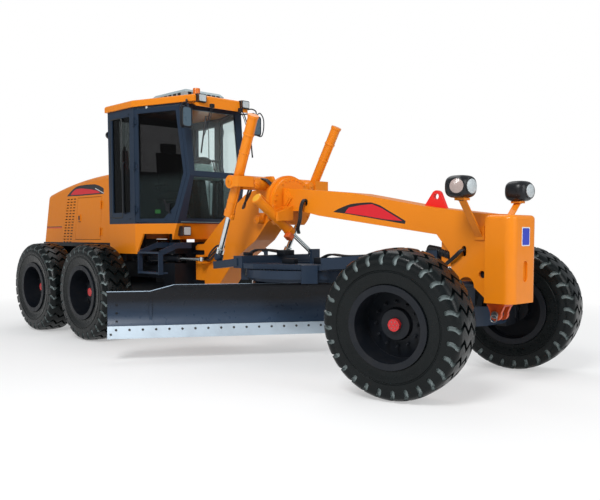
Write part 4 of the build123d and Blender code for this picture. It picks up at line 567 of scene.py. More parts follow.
@dataclass(frozen=True)
class Backdrop(Finish):
    """Matt floor that goes to plain white away from the machine, where a camera or a mirror sees it."""

    def dress(self, graph: Graph) -> None:
        """Mixes the floor's shading with plain white by the kind of ray and the distance."""
        seen = graph.seen("Is Camera Ray", "Is Glossy Ray", "Is Transmission Ray")
        far = graph.add("VectorMath", {0: graph.place()}, operation="LENGTH").outputs["Value"]
        share = graph.math("MULTIPLY", seen, graph.ramp(far, 3.0, 9.5, 0.35, 1.0))
        white = graph.add("Emission", {"Color": (1, 1, 1), "Strength": 1.0}).outputs[0]
        shading = graph.find("BSDF_PRINCIPLED").outputs[0]
        mixed = graph.add("MixShader", {0: share, 1: shading, 2: white}).outputs[0]
        graph.tree.links.new(mixed, graph.find("OUTPUT_MATERIAL").inputs[0])


def mark_paint(name: str, colour: Colour, shade: Colour, roughness: float = 0.35, coat: float = 0.3,
               **more) -> Paint:
    """Clean paint of a thin mark or plate, with sharp edges."""
    return Paint(name, colour, roughness, coat=coat, shade=shade, edge=0.0005, **more)


ORANGE = Paint("orange_paint", (0.84, 0.245, 0.008), 0.36, coat=0.18, specular=0.22,
               shade=(0.70, 0.18, 0.006), dust=0.12)
DARK_BLUE = Paint("dark_blue_paint", (0.016, 0.030, 0.055), 0.36, coat=0.06, specular=0.25,
                  slot="dark_steel", shade=(0.010, 0.018, 0.034), dust=0.05)
NEAR_BLACK = Paint("near_black_paint", (0.006, 0.008, 0.012), 0.42, specular=0.25,
                   slot="dark_steel", shade=(0.010, 0.013, 0.018), dust=0.05)
HUB_RED = Paint("hub_red_paint", (0.62, 0.012, 0.016), 0.38, coat=0.2, slot="hub_red",
                shade=(0.45, 0.008, 0.010), dust=0.05)
LUG_RED = Paint("lug_red_paint", (0.80, 0.012, 0.010), 0.36, coat=0.2, shade=(0.62, 0.01, 0.008))
TOW_RED = Paint("tow_red_paint", (0.62, 0.085, 0.008), 0.40, coat=0.2, shade=(0.50, 0.05, 0.006), dust=0.1)
VALVE_RED = Paint("valve_orange_red", (0.62, 0.10, 0.012), 0.4, coat=0.2, shade=(0.5, 0.07, 0.01), dust=0.1)
PALE_YELLOW = Paint("pale_yellow_paint", (0.80, 0.42, 0.035), 0.36, coat=0.3, shade=(0.7, 0.34, 0.03))
# pale blue of the moldboard's top rim: a painted highlight
RIM_HIGHLIGHT_BLUE = Paint("worn_rim", (0.36, 0.46, 0.56), 0.4, slot="dark_steel", shade=(0.2, 0.26, 0.33), edge=0.001)
EXTINGUISHER_RED = Paint("extinguisher_red", (0.55, 0.01, 0.012), 0.3, coat=0.5, slot="hub_red",
                         shade=(0.4, 0.01, 0.01), edge=0.001)
MIRROR_BACK = Paint("mirror_back", (0.07, 0.12, 0.16), 0.3, coat=0.3, slot="dark_plastic",
                    shade=(0.04, 0.07, 0.10), edge=0.002)
MOLDBOARD_BLUE = Polished("moldboard_blue", (0.034, 0.058, 0.100), 0.30, specular=0.3)
STRIPE_BLACK = mark_paint("stripe_black", (0.004, 0.005, 0.009), (0.008, 0.009, 0.014))
STRIPE_RED = mark_paint("stripe_red", (0.72, 0.006, 0.018), (0.60, 0.005, 0.014))
PLATE_WHITE = mark_paint("plate_white", (0.75, 0.75, 0.76), (0.62, 0.62, 0.66), 0.4, 0.0)
PLATE_BLUE = mark_paint("plate_blue", (0.012, 0.04, 0.50), (0.01, 0.03, 0.38))
EXIT_GREEN = mark_paint("exit_green", (0.006, 0.09, 0.012), (0.004, 0.06, 0.01), 0.4, 0.0, slot="dark_steel")
RUBBER = Rubber("tyre_rubber", (0.0030, 0.0048, 0.0052), 0.28, specular=0.20)
EDGE_STEEL = BrushedSteel("ground_edge_steel", (0.47, 0.56, 0.64), 0.40, 0.25, stain=(0.33, 0.38, 0.43))
CHROME = BrushedSteel("chromed_rod", (0.72, 0.77, 0.78), 0.16, 1.0, stain=(0.55, 0.60, 0.62))
BARE_STEEL = BrushedSteel("bare_steel", (0.28, 0.29, 0.30), 0.35, 0.9, stain=(0.16, 0.15, 0.14))
PLASTIC = Moulded("black_plastic", (0.006, 0.007, 0.009), 0.34, specular=0.35)
GREY_PLASTIC = Moulded("grey_plastic", (0.30, 0.37, 0.39), 0.5, specular=0.2)
PALE_INSIDE = Moulded("pale_inside", (0.20, 0.30, 0.28), 0.5, grain=300)
HOSE = Moulded("hose_rubber", (0.010, 0.012, 0.014), 0.42, slot="tyre", grain=500)
RUBBER_SEAL = Moulded("rubber_seal", (0.012, 0.013, 0.014), 0.5, slot="tyre")
CAST = Moulded("cast_grey_iron", (0.030, 0.031, 0.033), 0.7, slot="edge_steel", grain=90)
SEAT_CLOTH = Cloth("seat_cloth", (0.020, 0.030, 0.032), 0.85)
# the right quarter pane and the right door's upper pane are nearly black; the left door's is clear
GLASS = Pane("cab_glass_tint", (0.80, 0.88, 0.88), low=(0.30, 0.37, 0.37), side=(0.05, 0.055, 0.055))
DOOR_GLASS_RIGHT = Pane("door_glass_dark", (0.035, 0.032, 0.033), low=(0.22, 0.28, 0.28))
DOOR_GLASS_LEFT = Pane("door_glass_clear", (0.80, 0.86, 0.86), low=(0.16, 0.20, 0.20))
MIRROR = Finish("mirror_face", (0.55, 0.62, 0.65), 0.05, 1.0)
LENS = LampGlass("lamp_lens", (0.58, 0.64, 0.66), 0.18, coat=0.4)
PINK_LENS = LampGlass("pink_lamp_lens", (0.46, 0.36, 0.33), 0.2, coat=0.4)
RED_LENS = LampGlass("red_lens", (0.55, 0.01, 0.01), 0.25, coat=0.4, ribs=90)
AMBER = LampGlass("amber_lens", (0.80, 0.20, 0.006), 0.25, coat=0.1, ribs=40)
FLOOR_WHITE = Backdrop("floor_white", (0.9, 0.9, 0.9), 0.9, specular=0.0)


# ---------------------------------------------------------------- making pieces
def mesh_object(name: str, shape: Shape, finish: Finish) -> bpy.types.Object:
    """Object in the scene with a shape's mesh and a finish's material."""
    mesh = bpy.data.meshes.new(name)
    mesh.from_pydata(shape.points.tolist(), [], shape.faces)
    mesh.materials.append(finish.material())
    return place_in_scene(name, mesh)


def place_in_scene(name: str, data: bpy.types.ID) -> bpy.types.Object:
    """New object in the scene with a mesh, camera or lamp."""
    made = bpy.data.objects.new(name, data)
    bpy.context.scene.collection.objects.link(made)
    return made


def piece(name: str, shape: Shape, finish: Finish, body: str, slot: str = "", replaces: Sequence[str] = (),
          sharp: float = SHARP_ANGLE, slot_highlight_share: np.ndarray | None = None) -> bpy.types.Object:
    """Makes one finished piece that rides on a CAD body.

    Args:
        name: Plain name of the piece.
        shape: Its mesh in the row's frame, in metres.
        finish: Its finish.
        body: CAD body that it moves with.
        slot: Material slot of the record, where it isn't the finish's own; not used.
        replaces: CAD nodes that it stands for.
        sharp: Angle above which an edge is shaded sharp.
        slot_highlight_share: How much of the painted highlight in a tyre slot each point has.

    Returns:
        The object.
    """
    made = mesh_object(name, shape, finish)
    mesh = made.data
    # share of the tyres' painted highlight, kept per point
    if slot_highlight_share is not None:
        mesh.attributes.new("slot", "FLOAT", "POINT").data.foreach_set("value", slot_highlight_share)
    mesh.validate()
    mesh.update()
    mesh.shade_smooth()
    mesh.set_sharp_from_angle(angle=sharp)
    slot = slot or finish.slot
    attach(made, body)
    if replaces:
        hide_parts(*replaces)
    LOG.info("%s: %d faces on %s", name, len(mesh.polygons), body)
    return made


def fit(name: str, shape: Shape, finish: Finish, body: str = REAR, **options) -> bpy.types.Object:
    """Makes a piece from a shape in the drawing's millimetres; its options are those of piece."""
    return piece(name, Shape(drawing(shape.points), shape.faces), finish, body, **options)


def fit_both(name: str, shape: Shape, finish: Finish, body: str = REAR, **options) -> bpy.types.Object:
    """Makes one piece of a shape drawn on the right and its mirror image."""
    return fit(name, both_sides(shape), finish, body, **options)


def fit_each(name: str, shape: Shape, finish: Finish, body: str, **options) -> None:
    """Makes a piece on the body of each side; the names of both end with the side's word."""
    for side in Side:
        fit(f"{name}_{side.word}", shape.moved(side.mirror), finish, f"{body}_{side.word}", **options)


@dataclass
class Frame:
    """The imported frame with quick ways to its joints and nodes."""

    data: dict

    def finish_nodes(self, finish: Finish, *names: str) -> None:
        """Gives carried-over nodes a finish in all their material slots.

        Args:
            finish: The finish.
            names: Names of the nodes; a star at the end stands for the left and the right one.
        """
        words = [side.word for side in Side]
        for name in names:
            for each in [name[:-1] + word for word in words] if name.endswith("*") else [name]:
                node = self.data["nodes"][each]
                node.data.materials.clear()
                node.data.materials.append(finish.material())

    def wheel_matrix(self, name: str, side: Side) -> np.ndarray:
        """Matrix from a wheel's own frame, its outboard side along local Z, to the row's frame."""
        joint = next(joint for joint in self.data["joints"] if joint["name"] == f"{name}_turn")
        axis = np.array(joint["axis"], float)
        return frame_along(-axis if axis[1] * side.value < 0 else axis, joint["pos_m"])


# ---------------------------------------------------------------- wheels
@dataclass
class Tyre:
    """Loader-type tyre, in metres, with broad wavy lugs that run from shoulder to shoulder."""

    radius: float = 0.6752
    half_width: float = 0.2203
    bead_radius: float = 0.3325
    bead_half: float = 0.187
    lugs: int = 28
    depth: float = 0.040
    groove: float = 0.31
    foot: float = 0.560
    rows: int = 60
    wave: float = 0.26
    # strength of the painted highlight on the shoulder slots' floors
    pale: float = 0.6

    def section(self) -> np.ndarray:
        """Outer section from the inner bead to the outer one as radius and height.

        Each half goes from the bead over the rim's flange and a shallow ring up the sidewall,
        and round the shoulder to the middle of the tread.
        """
        w = self.half_width
        half = np.array([
            (self.bead_radius, self.bead_half), (0.380, self.bead_half + 0.004), (0.384, 0.202),
            (0.392, 0.204), (0.40, 0.2035), (0.44, w - 0.008), (0.49, w - 0.001), (0.496, w - 0.008),
            (0.504, w - 0.008), (0.510, w - 0.001), (0.53, w), (0.552, w - 0.001), (0.57, w - 0.003),
            (0.585, w - 0.004), (0.592, w - 0.002), (0.61, w - 0.003), (0.635, w - 0.012),
            (0.655, w - 0.034), (0.667, w - 0.062), (0.672, w - 0.11), (self.radius, 0.045),
            (self.radius, 0.0)])
        return np.concatenate([half * (1, -1), half[-2::-1]])

    def shape(self) -> tuple[Shape, np.ndarray]:
        """Tyre about local Z, and each point's share of painted highlight, on the shoulders' slot floors.

        Point (i, j) of the grid lies on section point i at turn t. Within each lug's pitch the
        columns follow the groove's two edges, whose middle swings to and fro across the tread by
        a triangle wave. A column in the groove is set in by the tread's depth, partly sideways on
        the shoulder's flank, and the groove runs out at its foot.
        """
        line = self.section()
        steps = np.concatenate([[0], np.cumsum(np.linalg.norm(np.diff(line, axis=0), axis=1))])
        tread = (line[:, 0] > self.foot - 0.01).nonzero()[0]
        keep = np.concatenate([steps[:tread[0]], np.linspace(steps[tread[0]], steps[tread[-1]], self.rows),
                               steps[tread[-1] + 1:]])
        r, h = (np.interp(keep, steps, line[:, k])[:, None] for k in (0, 1))
        across = np.clip(h / self.half_width, -1, 1)
        width = self.groove * np.clip((r - self.foot + 0.012) / 0.018, 0.15, 1.0)
        middle = self.wave * (4 * np.abs((across * 1.5 + 0.25) % 1.0 - 0.5) - 1) + 0.3 * across
        left, right, wall = middle - width / 2, middle + width / 2, 0.17 * width
        columns = np.concatenate([left, left + wall, middle, right - wall, right,
                                  right + (1 - width) * np.linspace(0, 1, 6)[1:-1]], axis=1)
        pitch = 2 * pi / self.lugs
        turn = ((np.arange(self.lugs)[:, None] + columns[:, None, :]) * pitch).reshape(len(keep), -1)
        deep = np.zeros(columns.shape[1])
        deep[1:4] = 1.0
        deep = np.tile(deep, self.lugs)
        inward = self.depth * deep * np.clip((r - self.foot) / 0.012, 0, 1)
        flank = np.clip((np.abs(h) - self.half_width + 0.05) / 0.04, 0, 1)
        radius = r - inward * (1 - 0.35 * flank)
        height = h - np.sign(h) * inward * 0.65 * flank
        points = np.stack([radius * np.cos(turn), radius * np.sin(turn), height], axis=2)
        shape = (grid(points, wrap_v=True) + grid(points[[-1, 0]], wrap_v=True)).flipped()
        # painted highlight on the slots' floors, on the shoulders only
        shoulder = np.clip((np.abs(h) - 0.125) / 0.03, 0, 1) * np.clip((r - self.foot - 0.002) / 0.008, 0, 1)
        return shape, np.concatenate([(self.pale * shoulder * deep).ravel(), np.zeros(2 * turn.shape[1])])


@dataclass
class Wheel:
    """Trim of one wheel, in metres: wheel nuts round the hub, its cap and the cap's screws."""

    nut_count: int = 12
    nut_circle: float = 0.205
    disc_face: float = 0.006
    screw_count: int = 6
    screw_circle: float = 0.034
    cap_face: float = 0.0816

    def nuts(self) -> Shape:
        """Nuts on studs in a circle on the disc."""
        nut = hexagon_bolt(0.015, 0.018) + revolved([(0.008, 0.018), (0.008, 0.034), (0.006, 0.036)], 10)
        place = shifted(self.nut_circle, 0, self.disc_face)
        return repeated(nut, [turned(angle) @ place for angle in circle(self.nut_count)])

    def cap(self) -> Shape:
        """Red cap with a rounded rim over the hub's end."""
        return revolved([(0.0585, 0.044), (0.0590, 0.074), (0.056, 0.0812), (0.050, 0.0818),
                         (0.001, 0.0818)], 40)

    def screws(self) -> Shape:
        """Small screws in a ring and in the middle of the cap's face."""
        place = shifted(self.screw_circle, 0, self.cap_face)
        ring = [turned(angle) @ place for angle in circle(self.screw_count)]
        return repeated(hexagon_bolt(0.0055, 0.004), ring + [shifted(0, 0, self.cap_face)])


@dataclass
class Wheels:
    """All six wheels."""

    frame: Frame
    tyre: Tyre = field(default_factory=Tyre)
    wheel: Wheel = field(default_factory=Wheel)

    def build(self) -> None:
        """Makes each wheel's tyre, nuts, cap and screws."""
        # pale: each point's share of the slots' painted highlight
        tyre, pale = self.tyre.shape()
        trim = (("wheel_nuts", self.wheel.nuts(), NEAR_BLACK, "black_steel"),
                ("hub_cap", self.wheel.cap(), HUB_RED, "hub_red"),
                ("hub_screws", self.wheel.screws(), BARE_STEEL, "hub_red"))
        for row in ("front", "middle", "rear"):
            for side in Side:
                name = f"{row}_{side.word}"
                body = f"wheel_{name}"
                matrix = self.frame.wheel_matrix(body, side)
                piece(f"tyre_tread_{name}", tyre.moved(matrix), RUBBER, body, replaces=[f"tyre_{name}"],
                      sharp=radians(40), slot_highlight_share=pale)
                for kind, shape, finish, slot in trim:
                    piece(f"{kind}_{name}", shape.moved(matrix), finish, body, slot)


# ---------------------------------------------------------------- small fittings and marks, in millimetres
def both_sides(shape: Shape) -> Shape:
    """The shape and its mirror image in the machine's middle plane."""
    return shape + shape.moved(Side.LEFT.mirror)


def block(x: Point, y: Point, z: Point, radius: float = 6.0) -> Shape:
    """Box with softened edges between two X, two Y and two Z values."""
    low, high = np.transpose([x, y, z]).astype(float)
    return rounded_box(high - low, radius).at(*(low + high) / 2)


def plate(outline: Outline, origin: Point, across: Point, up: Point, low: float, high: float) -> Shape:
    """Outline of (across, up) pairs from an origin, carried along across x up from low to high."""
    return prism(outline, low, high).moved(basis(unit(across), unit(up), origin))


def side_plate(outline: Outline, origin: Point, low: float, high: float) -> Shape:
    """Plate on an upright face that looks to the right."""
    return plate(outline, origin, AHEAD, UPWARD, low, high)


def disc(centre: Point, axis: Point, radius: float, height: float, rim: float = 0.0,
         steps: int = 32) -> Shape:
    """Round disc standing on a face along an axis, with a rounded rim."""
    profile = [(radius, 0), (radius, height - rim), (radius - 0.3 * rim, height - 0.3 * rim),
               (radius - rim, height), (0.02 * radius, height)]
    return revolved(profile, steps).along(axis, centre)


def dome(centre: Point, axis: Point, half: Point, height: float, power: float = 2.0) -> Shape:
    """Lens bulge: an ellipse of half sizes a, b whose height falls off as 1 - r**power, on a skirt."""
    share, turn = np.linspace(1, 0.02, 8)[:, None], circle(40)
    points = np.stack([share * half[0] * np.cos(turn), share * half[1] * np.sin(turn),
                       height * (1 - share**power) + 0 * turn], axis=2)
    return skin(np.concatenate([points[:1] - (0, 0, 4.0), points])).along(axis, centre)


def bolts(points: Outline, axis: Point, radius: float, height: float) -> Shape:
    """Bolt heads at points of a face, standing along an axis."""
    return repeated(hexagon_bolt(radius, height), [frame_along(axis, point) for point in points])


def hose(points: Outline, radius: float, count: int) -> Shape:
    """Hose or bent rod through points, with so many rings."""
    return tube(smooth_path(points, count), radius, 12)


def hose_pair(points: Outline, radius: float, count: int) -> Shape:
    """Bent rod through points on the right and one through their mirror images on the left."""
    return joined([hose(np.multiply(points, (1, sign, 1)), radius, count) for sign in (1, -1)])


@dataclass
class PaintMarks:
    """Swooshes on the beam and hood without words, the hood's stripes and the blank nose plate."""

    beam_black: Outline = (
        (4535, 1735), (4600, 1762), (4673, 1784), (4740, 1803), (4808, 1817), (4950, 1825), (5097, 1826),
        (5220, 1792), (5360, 1722), (5493, 1657), (5567, 1619), (5559, 1589), (5400, 1612), (5000, 1672),
        (4719, 1713))
    beam_red: Outline = (
        (4719, 1722), (4745, 1752), (4778, 1779), (4950, 1800), (5112, 1807), (5250, 1758), (5400, 1684),
        (5526, 1620), (5300, 1640), (5000, 1684))
    hood_black: Outline = (
        (-978, 2098), (-880, 2155), (-768, 2205), (-660, 2238), (-534, 2252), (-300, 2256), (-58, 2250),
        (60, 2226), (182, 2185), (202, 2170), (202, 2094), (-542, 2092))
    hood_red: Outline = (
        (-860, 2112), (-770, 2166), (-668, 2202), (-500, 2206), (-200, 2180), (29, 2146), (100, 2112))
    hood_white: Outline = ((-60, 2184), (-46, 2192), (202, 2108), (202, 2098))
    stripe_x: Point = (-1726.0, -1178.0)
    stripe_height: float = 12.0
    beam_side: float = 160.0
    hood_side: float = 600.0
    layer: float = 0.6
    nose_centre: Point = (6840.0, 2.0, 1460.0)

    def stripe(self, low: float) -> Outline:
        """A level band on the hood from a height."""
        (rear, front), high = self.stripe_x, low + self.stripe_height
        return (rear, low), (front, low), (front, high), (rear, high)

    def build(self) -> None:
        """Makes all marks: those on the sides are thin plates in layers, the nose's has a border."""
        beam, hood = self.beam_side, self.hood_side
        for name, outline, off, finish, body in (
                ("beam_swoosh", self.beam_black, beam, STRIPE_BLACK, FRONT),
                ("beam_swoosh_red", self.beam_red, beam + self.layer, STRIPE_RED, FRONT),
                ("hood_swoosh", self.hood_black, hood, STRIPE_BLACK, REAR),
                ("hood_swoosh_red", self.hood_red, hood + self.layer, STRIPE_RED, REAR),
                ("hood_swoosh_line", self.hood_white, hood + 2 * self.layer, PLATE_WHITE, REAR),
                ("hood_stripe_black", self.stripe(1605.0), hood, STRIPE_BLACK, REAR),
                ("hood_stripe_red", self.stripe(1588.0), hood, STRIPE_RED, REAR)):
            fit_both(name, side_plate(outline, (0, -off, 0), -0.6, 0.4), finish, body)
        border = rounded_rectangle(72, 88, 12)
        for name, outline, low, high, finish in (
                ("nose_plate_border", border, -0.5, 2.0, PLATE_WHITE),
                ("nose_plate", border * (0.86, 0.88), 1.0, 2.8, PLATE_BLUE)):
            fit(name, plate(outline, self.nose_centre, LEFTWARD, UPWARD, low, high), finish, FRONT)


# ---------------------------------------------------------------- lamps
@dataclass
class Lamps:
    """Twin-lens lamps on the front arms, the skirt and roof lamps, and the rear work lamps."""

    centre: Point = (6472.0, -519.0, 1913.0)
    half: Point = (122.0, 142.0, 102.0)
    roof: Point = (2330.0, -365.0, 3262.0)
    skirt: Point = (2020.0, -425.0, 1530.0)
    rear: Point = (590.0, -700.0, 2920.0)

    def housing(self) -> Shape:
        """Superellipsoid: signed powers of sine and cosine give soft flats with round corners."""
        east = circle(48)[None, :]
        north = np.linspace(-pi / 2 + 0.02, pi / 2 - 0.02, 25)[:, None]

        def bent(value: np.ndarray, power: float) -> np.ndarray:
            """Power of a value's size, with the value's sign."""
            return np.sign(value) * np.abs(value) ** power

        level = bent(np.cos(north), 0.50)
        a, b, c = self.half
        points = np.stack([a * level * bent(np.cos(east), 0.70), b * level * bent(np.sin(east), 0.70),
                           c * bent(np.sin(north), 0.75) + 0 * east], axis=2)
        return skin(points).at(*self.centre)

    def front(self) -> None:
        """Both head lamps: housing, bezels and the two lenses of each."""
        x, y, z = self.centre
        a, b, _ = self.half
        # each lens by its middle, where it faces and its half sizes
        faces = [((x + a - 7, y - 4, z), AHEAD, (78, 68)),
                 ((x + 46, y - b + 9, z), (0.35, -0.94, 0), (64, 66))]
        bezels = joined([dome(c, axis, (u + 8, v + 12), 10, 5) for c, axis, (u, v) in faces])
        ahead, aside = (dome(np.add(c, np.multiply(axis, 9)), axis, (u - 2, v - 2), 14)
                        for c, axis, (u, v) in faces)
        bolt = disc((x, y, z - 126), UPWARD, 26, 26, 4, 6)
        fit_both("head_lamp_housings", self.housing() + bolt, PLASTIC, FRONT, replaces=["head_lamps"],
                 sharp=radians(60))
        fit_both("head_lamp_bezels", bezels, PLASTIC, FRONT)
        fit_both("head_lamp_lenses", ahead, LENS, FRONT)
        fit_both("side_lamp_lenses", aside, PINK_LENS, FRONT)

    def small(self, name: str, centre: Point, size: Point, lens: Point) -> None:
        """A boxed lamp that looks ahead, on both sides.

        Args:
            name: What it is called.
            centre: Middle of its housing.
            size: Its housing's sizes.
            lens: Half sizes of the lens.
        """
        face = np.add(centre, (size[0] / 2 - 2, 0, 0))
        rim = plate(rounded_rectangle(lens[0] + 9, lens[1] + 9, 16), face, LEFTWARD, UPWARD, -2, 7)
        glass = plate(rounded_rectangle(*lens, 12), face, LEFTWARD, UPWARD, 6, 10)
        fit_both(f"{name}_cases", rounded_box(size, 14).at(*centre) + rim, PLASTIC)
        fit_both(f"{name}_lenses", glass, LENS)

    def build(self) -> None:
        """Makes every lamp, and the round buttons at the top of the doors."""
        self.front()
        self.small("roof_lamp", self.roof, (98, 138, 112), (54, 42))
        self.small("skirt_lamp", self.skirt, (130, 134, 134), (52, 52))
        x, y, z = self.rear
        arm = hose([(x + 50, y, z), (x + 30, y - 5, z), (x + 6, y - 2, z)], 12, 8)
        fit_both("rear_work_lamps", disc(self.rear, ASTERN, 52, 46, 12) + arm, PLASTIC)
        fit_both("rear_work_lenses", dome((x - 47, y, z), ASTERN, (42, 42), 8), LENS)
        fit_both("door_top_buttons", dome((1665, -763, 3179), RIGHTWARD, (22, 18), 7), LENS)


# ---------------------------------------------------------------- cab
@dataclass
class Cab:
    """Mirrors, wipers, seals, handles, roof unit, steps and what stands inside the cab."""

    half: float = 760.0
    kink_x: float = 1330.0
    taper: float = 0.329
    mirror: Point = (2325.0, -590.0, 3000.0)
    quarter_x: Point = (700.0, 1010.0)
    quarter_z: Point = (1720.0, 3110.0)
    roof_z: float = 3325.0
    step_z: float = 1246.5
    lever_y: Point = (200, 242, 284, 326)
    wheel_centre: Point = (1730, 0, 2470)

    def wall(self, x: float) -> float:
        """Half width of the cab at a place along it: it narrows forward of its kink."""
        return self.half - max(0.0, x - self.kink_x) * self.taper

    def mirrors(self) -> None:
        """Rear-view mirrors on bent arms at the roof's front corners."""
        x, y, z = self.mirror
        face = plate(rounded_rectangle(76, 122, 22), (x - 25, y, z), RIGHTWARD, UPWARD, -1, 1.5)
        back = plate(rounded_rectangle(62, 118, 30), (x + 24, y, z), LEFTWARD, UPWARD, -1, 3)
        arms = hose_pair([(2230, -500, 3225), (2290, -550, 3232), (2331, -590, 3200),
                          (2331, -590, 3130)], 9, 30)
        bows = hose_pair([(2331, -592, 3134), (2358, -640, 3178), (2372, -694, 3100), (2366, -700, 2960),
                          (2352, -672, 2862), (2330, -610, 2868)], 8, 30)
        roots = bolts([(2215, y, 3212) for y in (-500, 500)], UPWARD, 22, 14)
        fit_both("mirror_cases", rounded_box((50, 180, 272), 24).at(x, y, z), PLASTIC)
        fit_both("mirror_faces", face, MIRROR)
        fit_both("mirror_backs", back, MIRROR_BACK)
        fit("mirror_arms", arms + bows + roots, NEAR_BLACK)

    def seals(self, radius: float = 9.0, cut: float = 34.0) -> None:
        """Rubber round the rear quarter panes: a flattened tube along an outline with cut corners."""
        (x0, x1), (z0, z1) = self.quarter_x, self.quarter_z
        y = -self.half - 1
        points = np.array([(x0, y, z0), (x1, y, z0), (x1, y, z1), (x0, y, z1)])
        start, end = (points + unit(np.roll(points, k, axis=0) - points) * cut for k in (1, -1))
        line = np.stack([start, (start + end + 2 * points) / 4, end], axis=1).reshape(-1, 3)
        runs = unit(np.roll(line, -1, axis=0) - np.roll(line, 1, axis=0))
        normal = unit(np.cross(points[1] - points[0], points[2] - points[1]))
        ring = around(line, np.cross(runs, normal), 0.55 * normal, radius, 8)
        fit_both("cab_quarter_seals", grid(ring, wrap_u=True, wrap_v=True), RUBBER_SEAL)

    def wipers(self) -> None:
        """Two wipers on the windscreen, each with a double arm."""
        arms = hose_pair([(2424, -250, 3172), (2452, -300, 3060), (2444, -400, 2800)], 8, 14)
        thin = hose_pair([(2424, -225, 3165), (2450, -276, 3050), (2444, -392, 2770)], 5, 14)
        hubs = both_sides(block((2396, 2440), (-270, -210), (3145, 3195), 8))
        fit("wiper_arms", arms + thin + hubs, NEAR_BLACK, slot="black_steel")
        blades = hose_pair([(2436, -352, 3020), (2440, -398, 2790), (2434, -436, 2540)], 10, 14)
        fit("wiper_blades", blades, PLASTIC)

    def door_trim(self) -> None:
        """Each door's handle and lock, its edge bolts and the blank green exit mark on its pane."""
        x = 1900.0
        y = -self.wall(x) - 6
        slope = (1.0, self.taper, 0.0)
        lever = plate(rounded_rectangle(16, 105, 14), (x - 30, y - 16, 1860), slope, (-0.45, -0.15, 0.88),
                      0, 16)
        base = plate(rounded_rectangle(34, 52, 14), (x - 20, y - 6, 1850), slope, UPWARD, -8, 12)
        lock = disc((x - 20, y - 14, 1815), (0.31, -0.95, 0), 14, 14, 3)
        label = plate(rounded_rectangle(46, 26, 4), (1712, -self.wall(1712) - 1.5, 1794), slope, UPWARD,
                      -3, 3)
        heads = [(1215.0, -self.half - 7, z) for z in (1700, 1980, 2420, 2860, 3140)]
        heads += [(kx, -self.wall(kx) - 6, 1680) for kx in (1420.0, 1640.0, 1840.0)]
        fit_each("door_handle", lever + base + lock, PLASTIC, "cab_door")
        fit_each("exit_mark", label, EXIT_GREEN, "cab_door")
        fit_each("door_bolts", bolts(heads, RIGHTWARD, 9, 6), NEAR_BLACK, "cab_door", slot="black_steel")

    def outside(self) -> None:
        """Grab rails behind the doors and grip dimples on each ladder's upper tread."""
        rail = hose([(1110, -768, 1780), (1110, -800, 1800), (1110, -806, 1900), (1110, -806, 2380),
                     (1110, -800, 2470), (1110, -768, 2490)], 11, 40)
        fit_both("cab_grab_rails", rail, NEAR_BLACK)
        spots = [shifted(x, y, self.step_z) for x in np.linspace(1712, 2140, 10) for y in (-915.0, -885.0)]
        dimple = revolved([(9, 0), (6.5, 2.5), (4.0, 3.0), (1, 3.0)], 8)
        fit_both("step_grips", repeated(dimple, spots), NEAR_BLACK)

    def roof_unit(self) -> None:
        """Cooling unit's louvres, its screws and the roof's amber lamp."""
        low = self.roof_z + 30
        vents = [block((1935, 1943), (y, y + 58), (low, low + 62), 3) for y in range(-280, 201, 80)]
        sides = [block((x, x + 70), (-334, -326), (low, low + 54), 3) for x in range(1220, 1771, 110)]
        fit("roof_unit_vents", joined(vents + sides), PLASTIC)
        screws = [(x, y, 3451) for x in (1190, 1880) for y in (-270, 0, 270)]
        fit("roof_unit_screws", bolts(screws, UPWARD, 12, 6), BARE_STEEL, slot="dark_plastic")
        beacon = revolved([(53, 3318), (53, 3352), (48.5, 3356), (48.5, 3438), (48, 3450), (46.8, 3457),
                           (1, 3458)], 40)
        fit("roof_beacon", beacon.at(2010, -190), AMBER, slot="dark_plastic")

    def inside(self) -> None:
        """Lever rods and knobs, the steering grip, the fire extinguisher, dashboard and floor mat."""
        knob = revolved([(8, 0), (15, 8), (18, 22), (15, 34), (6, 42), (1, 43)], 16)
        fit_both("lever_knobs", joined([knob.at(1790, -y, 2505) for y in self.lever_y]), PLASTIC)
        rods = [hose([(1850, -y, 2240), (1790, -y, 2512)], 9, 6) for y in self.lever_y]
        fit_both("lever_rods", joined(rods), PALE_INSIDE)
        grip = revolved([(191 + 15 * cos(t), 15 * sin(t)) for t in np.linspace(-pi, pi, 13)], 56)
        tilt = shifted(*self.wheel_centre) @ turned(radians(-22), "Y")
        fit("steering_wheel_grip", grip.moved(tilt), PLASTIC)
        body = revolved([(52, 0), (56, 14), (56, 300), (46, 336), (20, 356), (16, 380), (26, 384), (26, 402),
                         (1, 404)], 28)
        fit("fire_extinguisher", body.at(760, -560, 2350), EXTINGUISHER_RED)
        dash = rounded_box((150, 560, 120), 40, 5).at(1875, 0, 2300)
        binnacle = rounded_box((190, 330, 150), 50, 5).at(1830, 0, 2390)
        fit("dashboard", dash + binnacle, PALE_INSIDE)
        fit("cab_floor_mat", block((700, 2050), (-480, 480), (1648, 1654), 2), GREY_PLASTIC)

    def build(self) -> None:
        """Makes everything on and in the cab."""
        for make in (self.mirrors, self.seals, self.wipers, self.door_trim, self.outside, self.roof_unit,
                     self.inside):
            make()


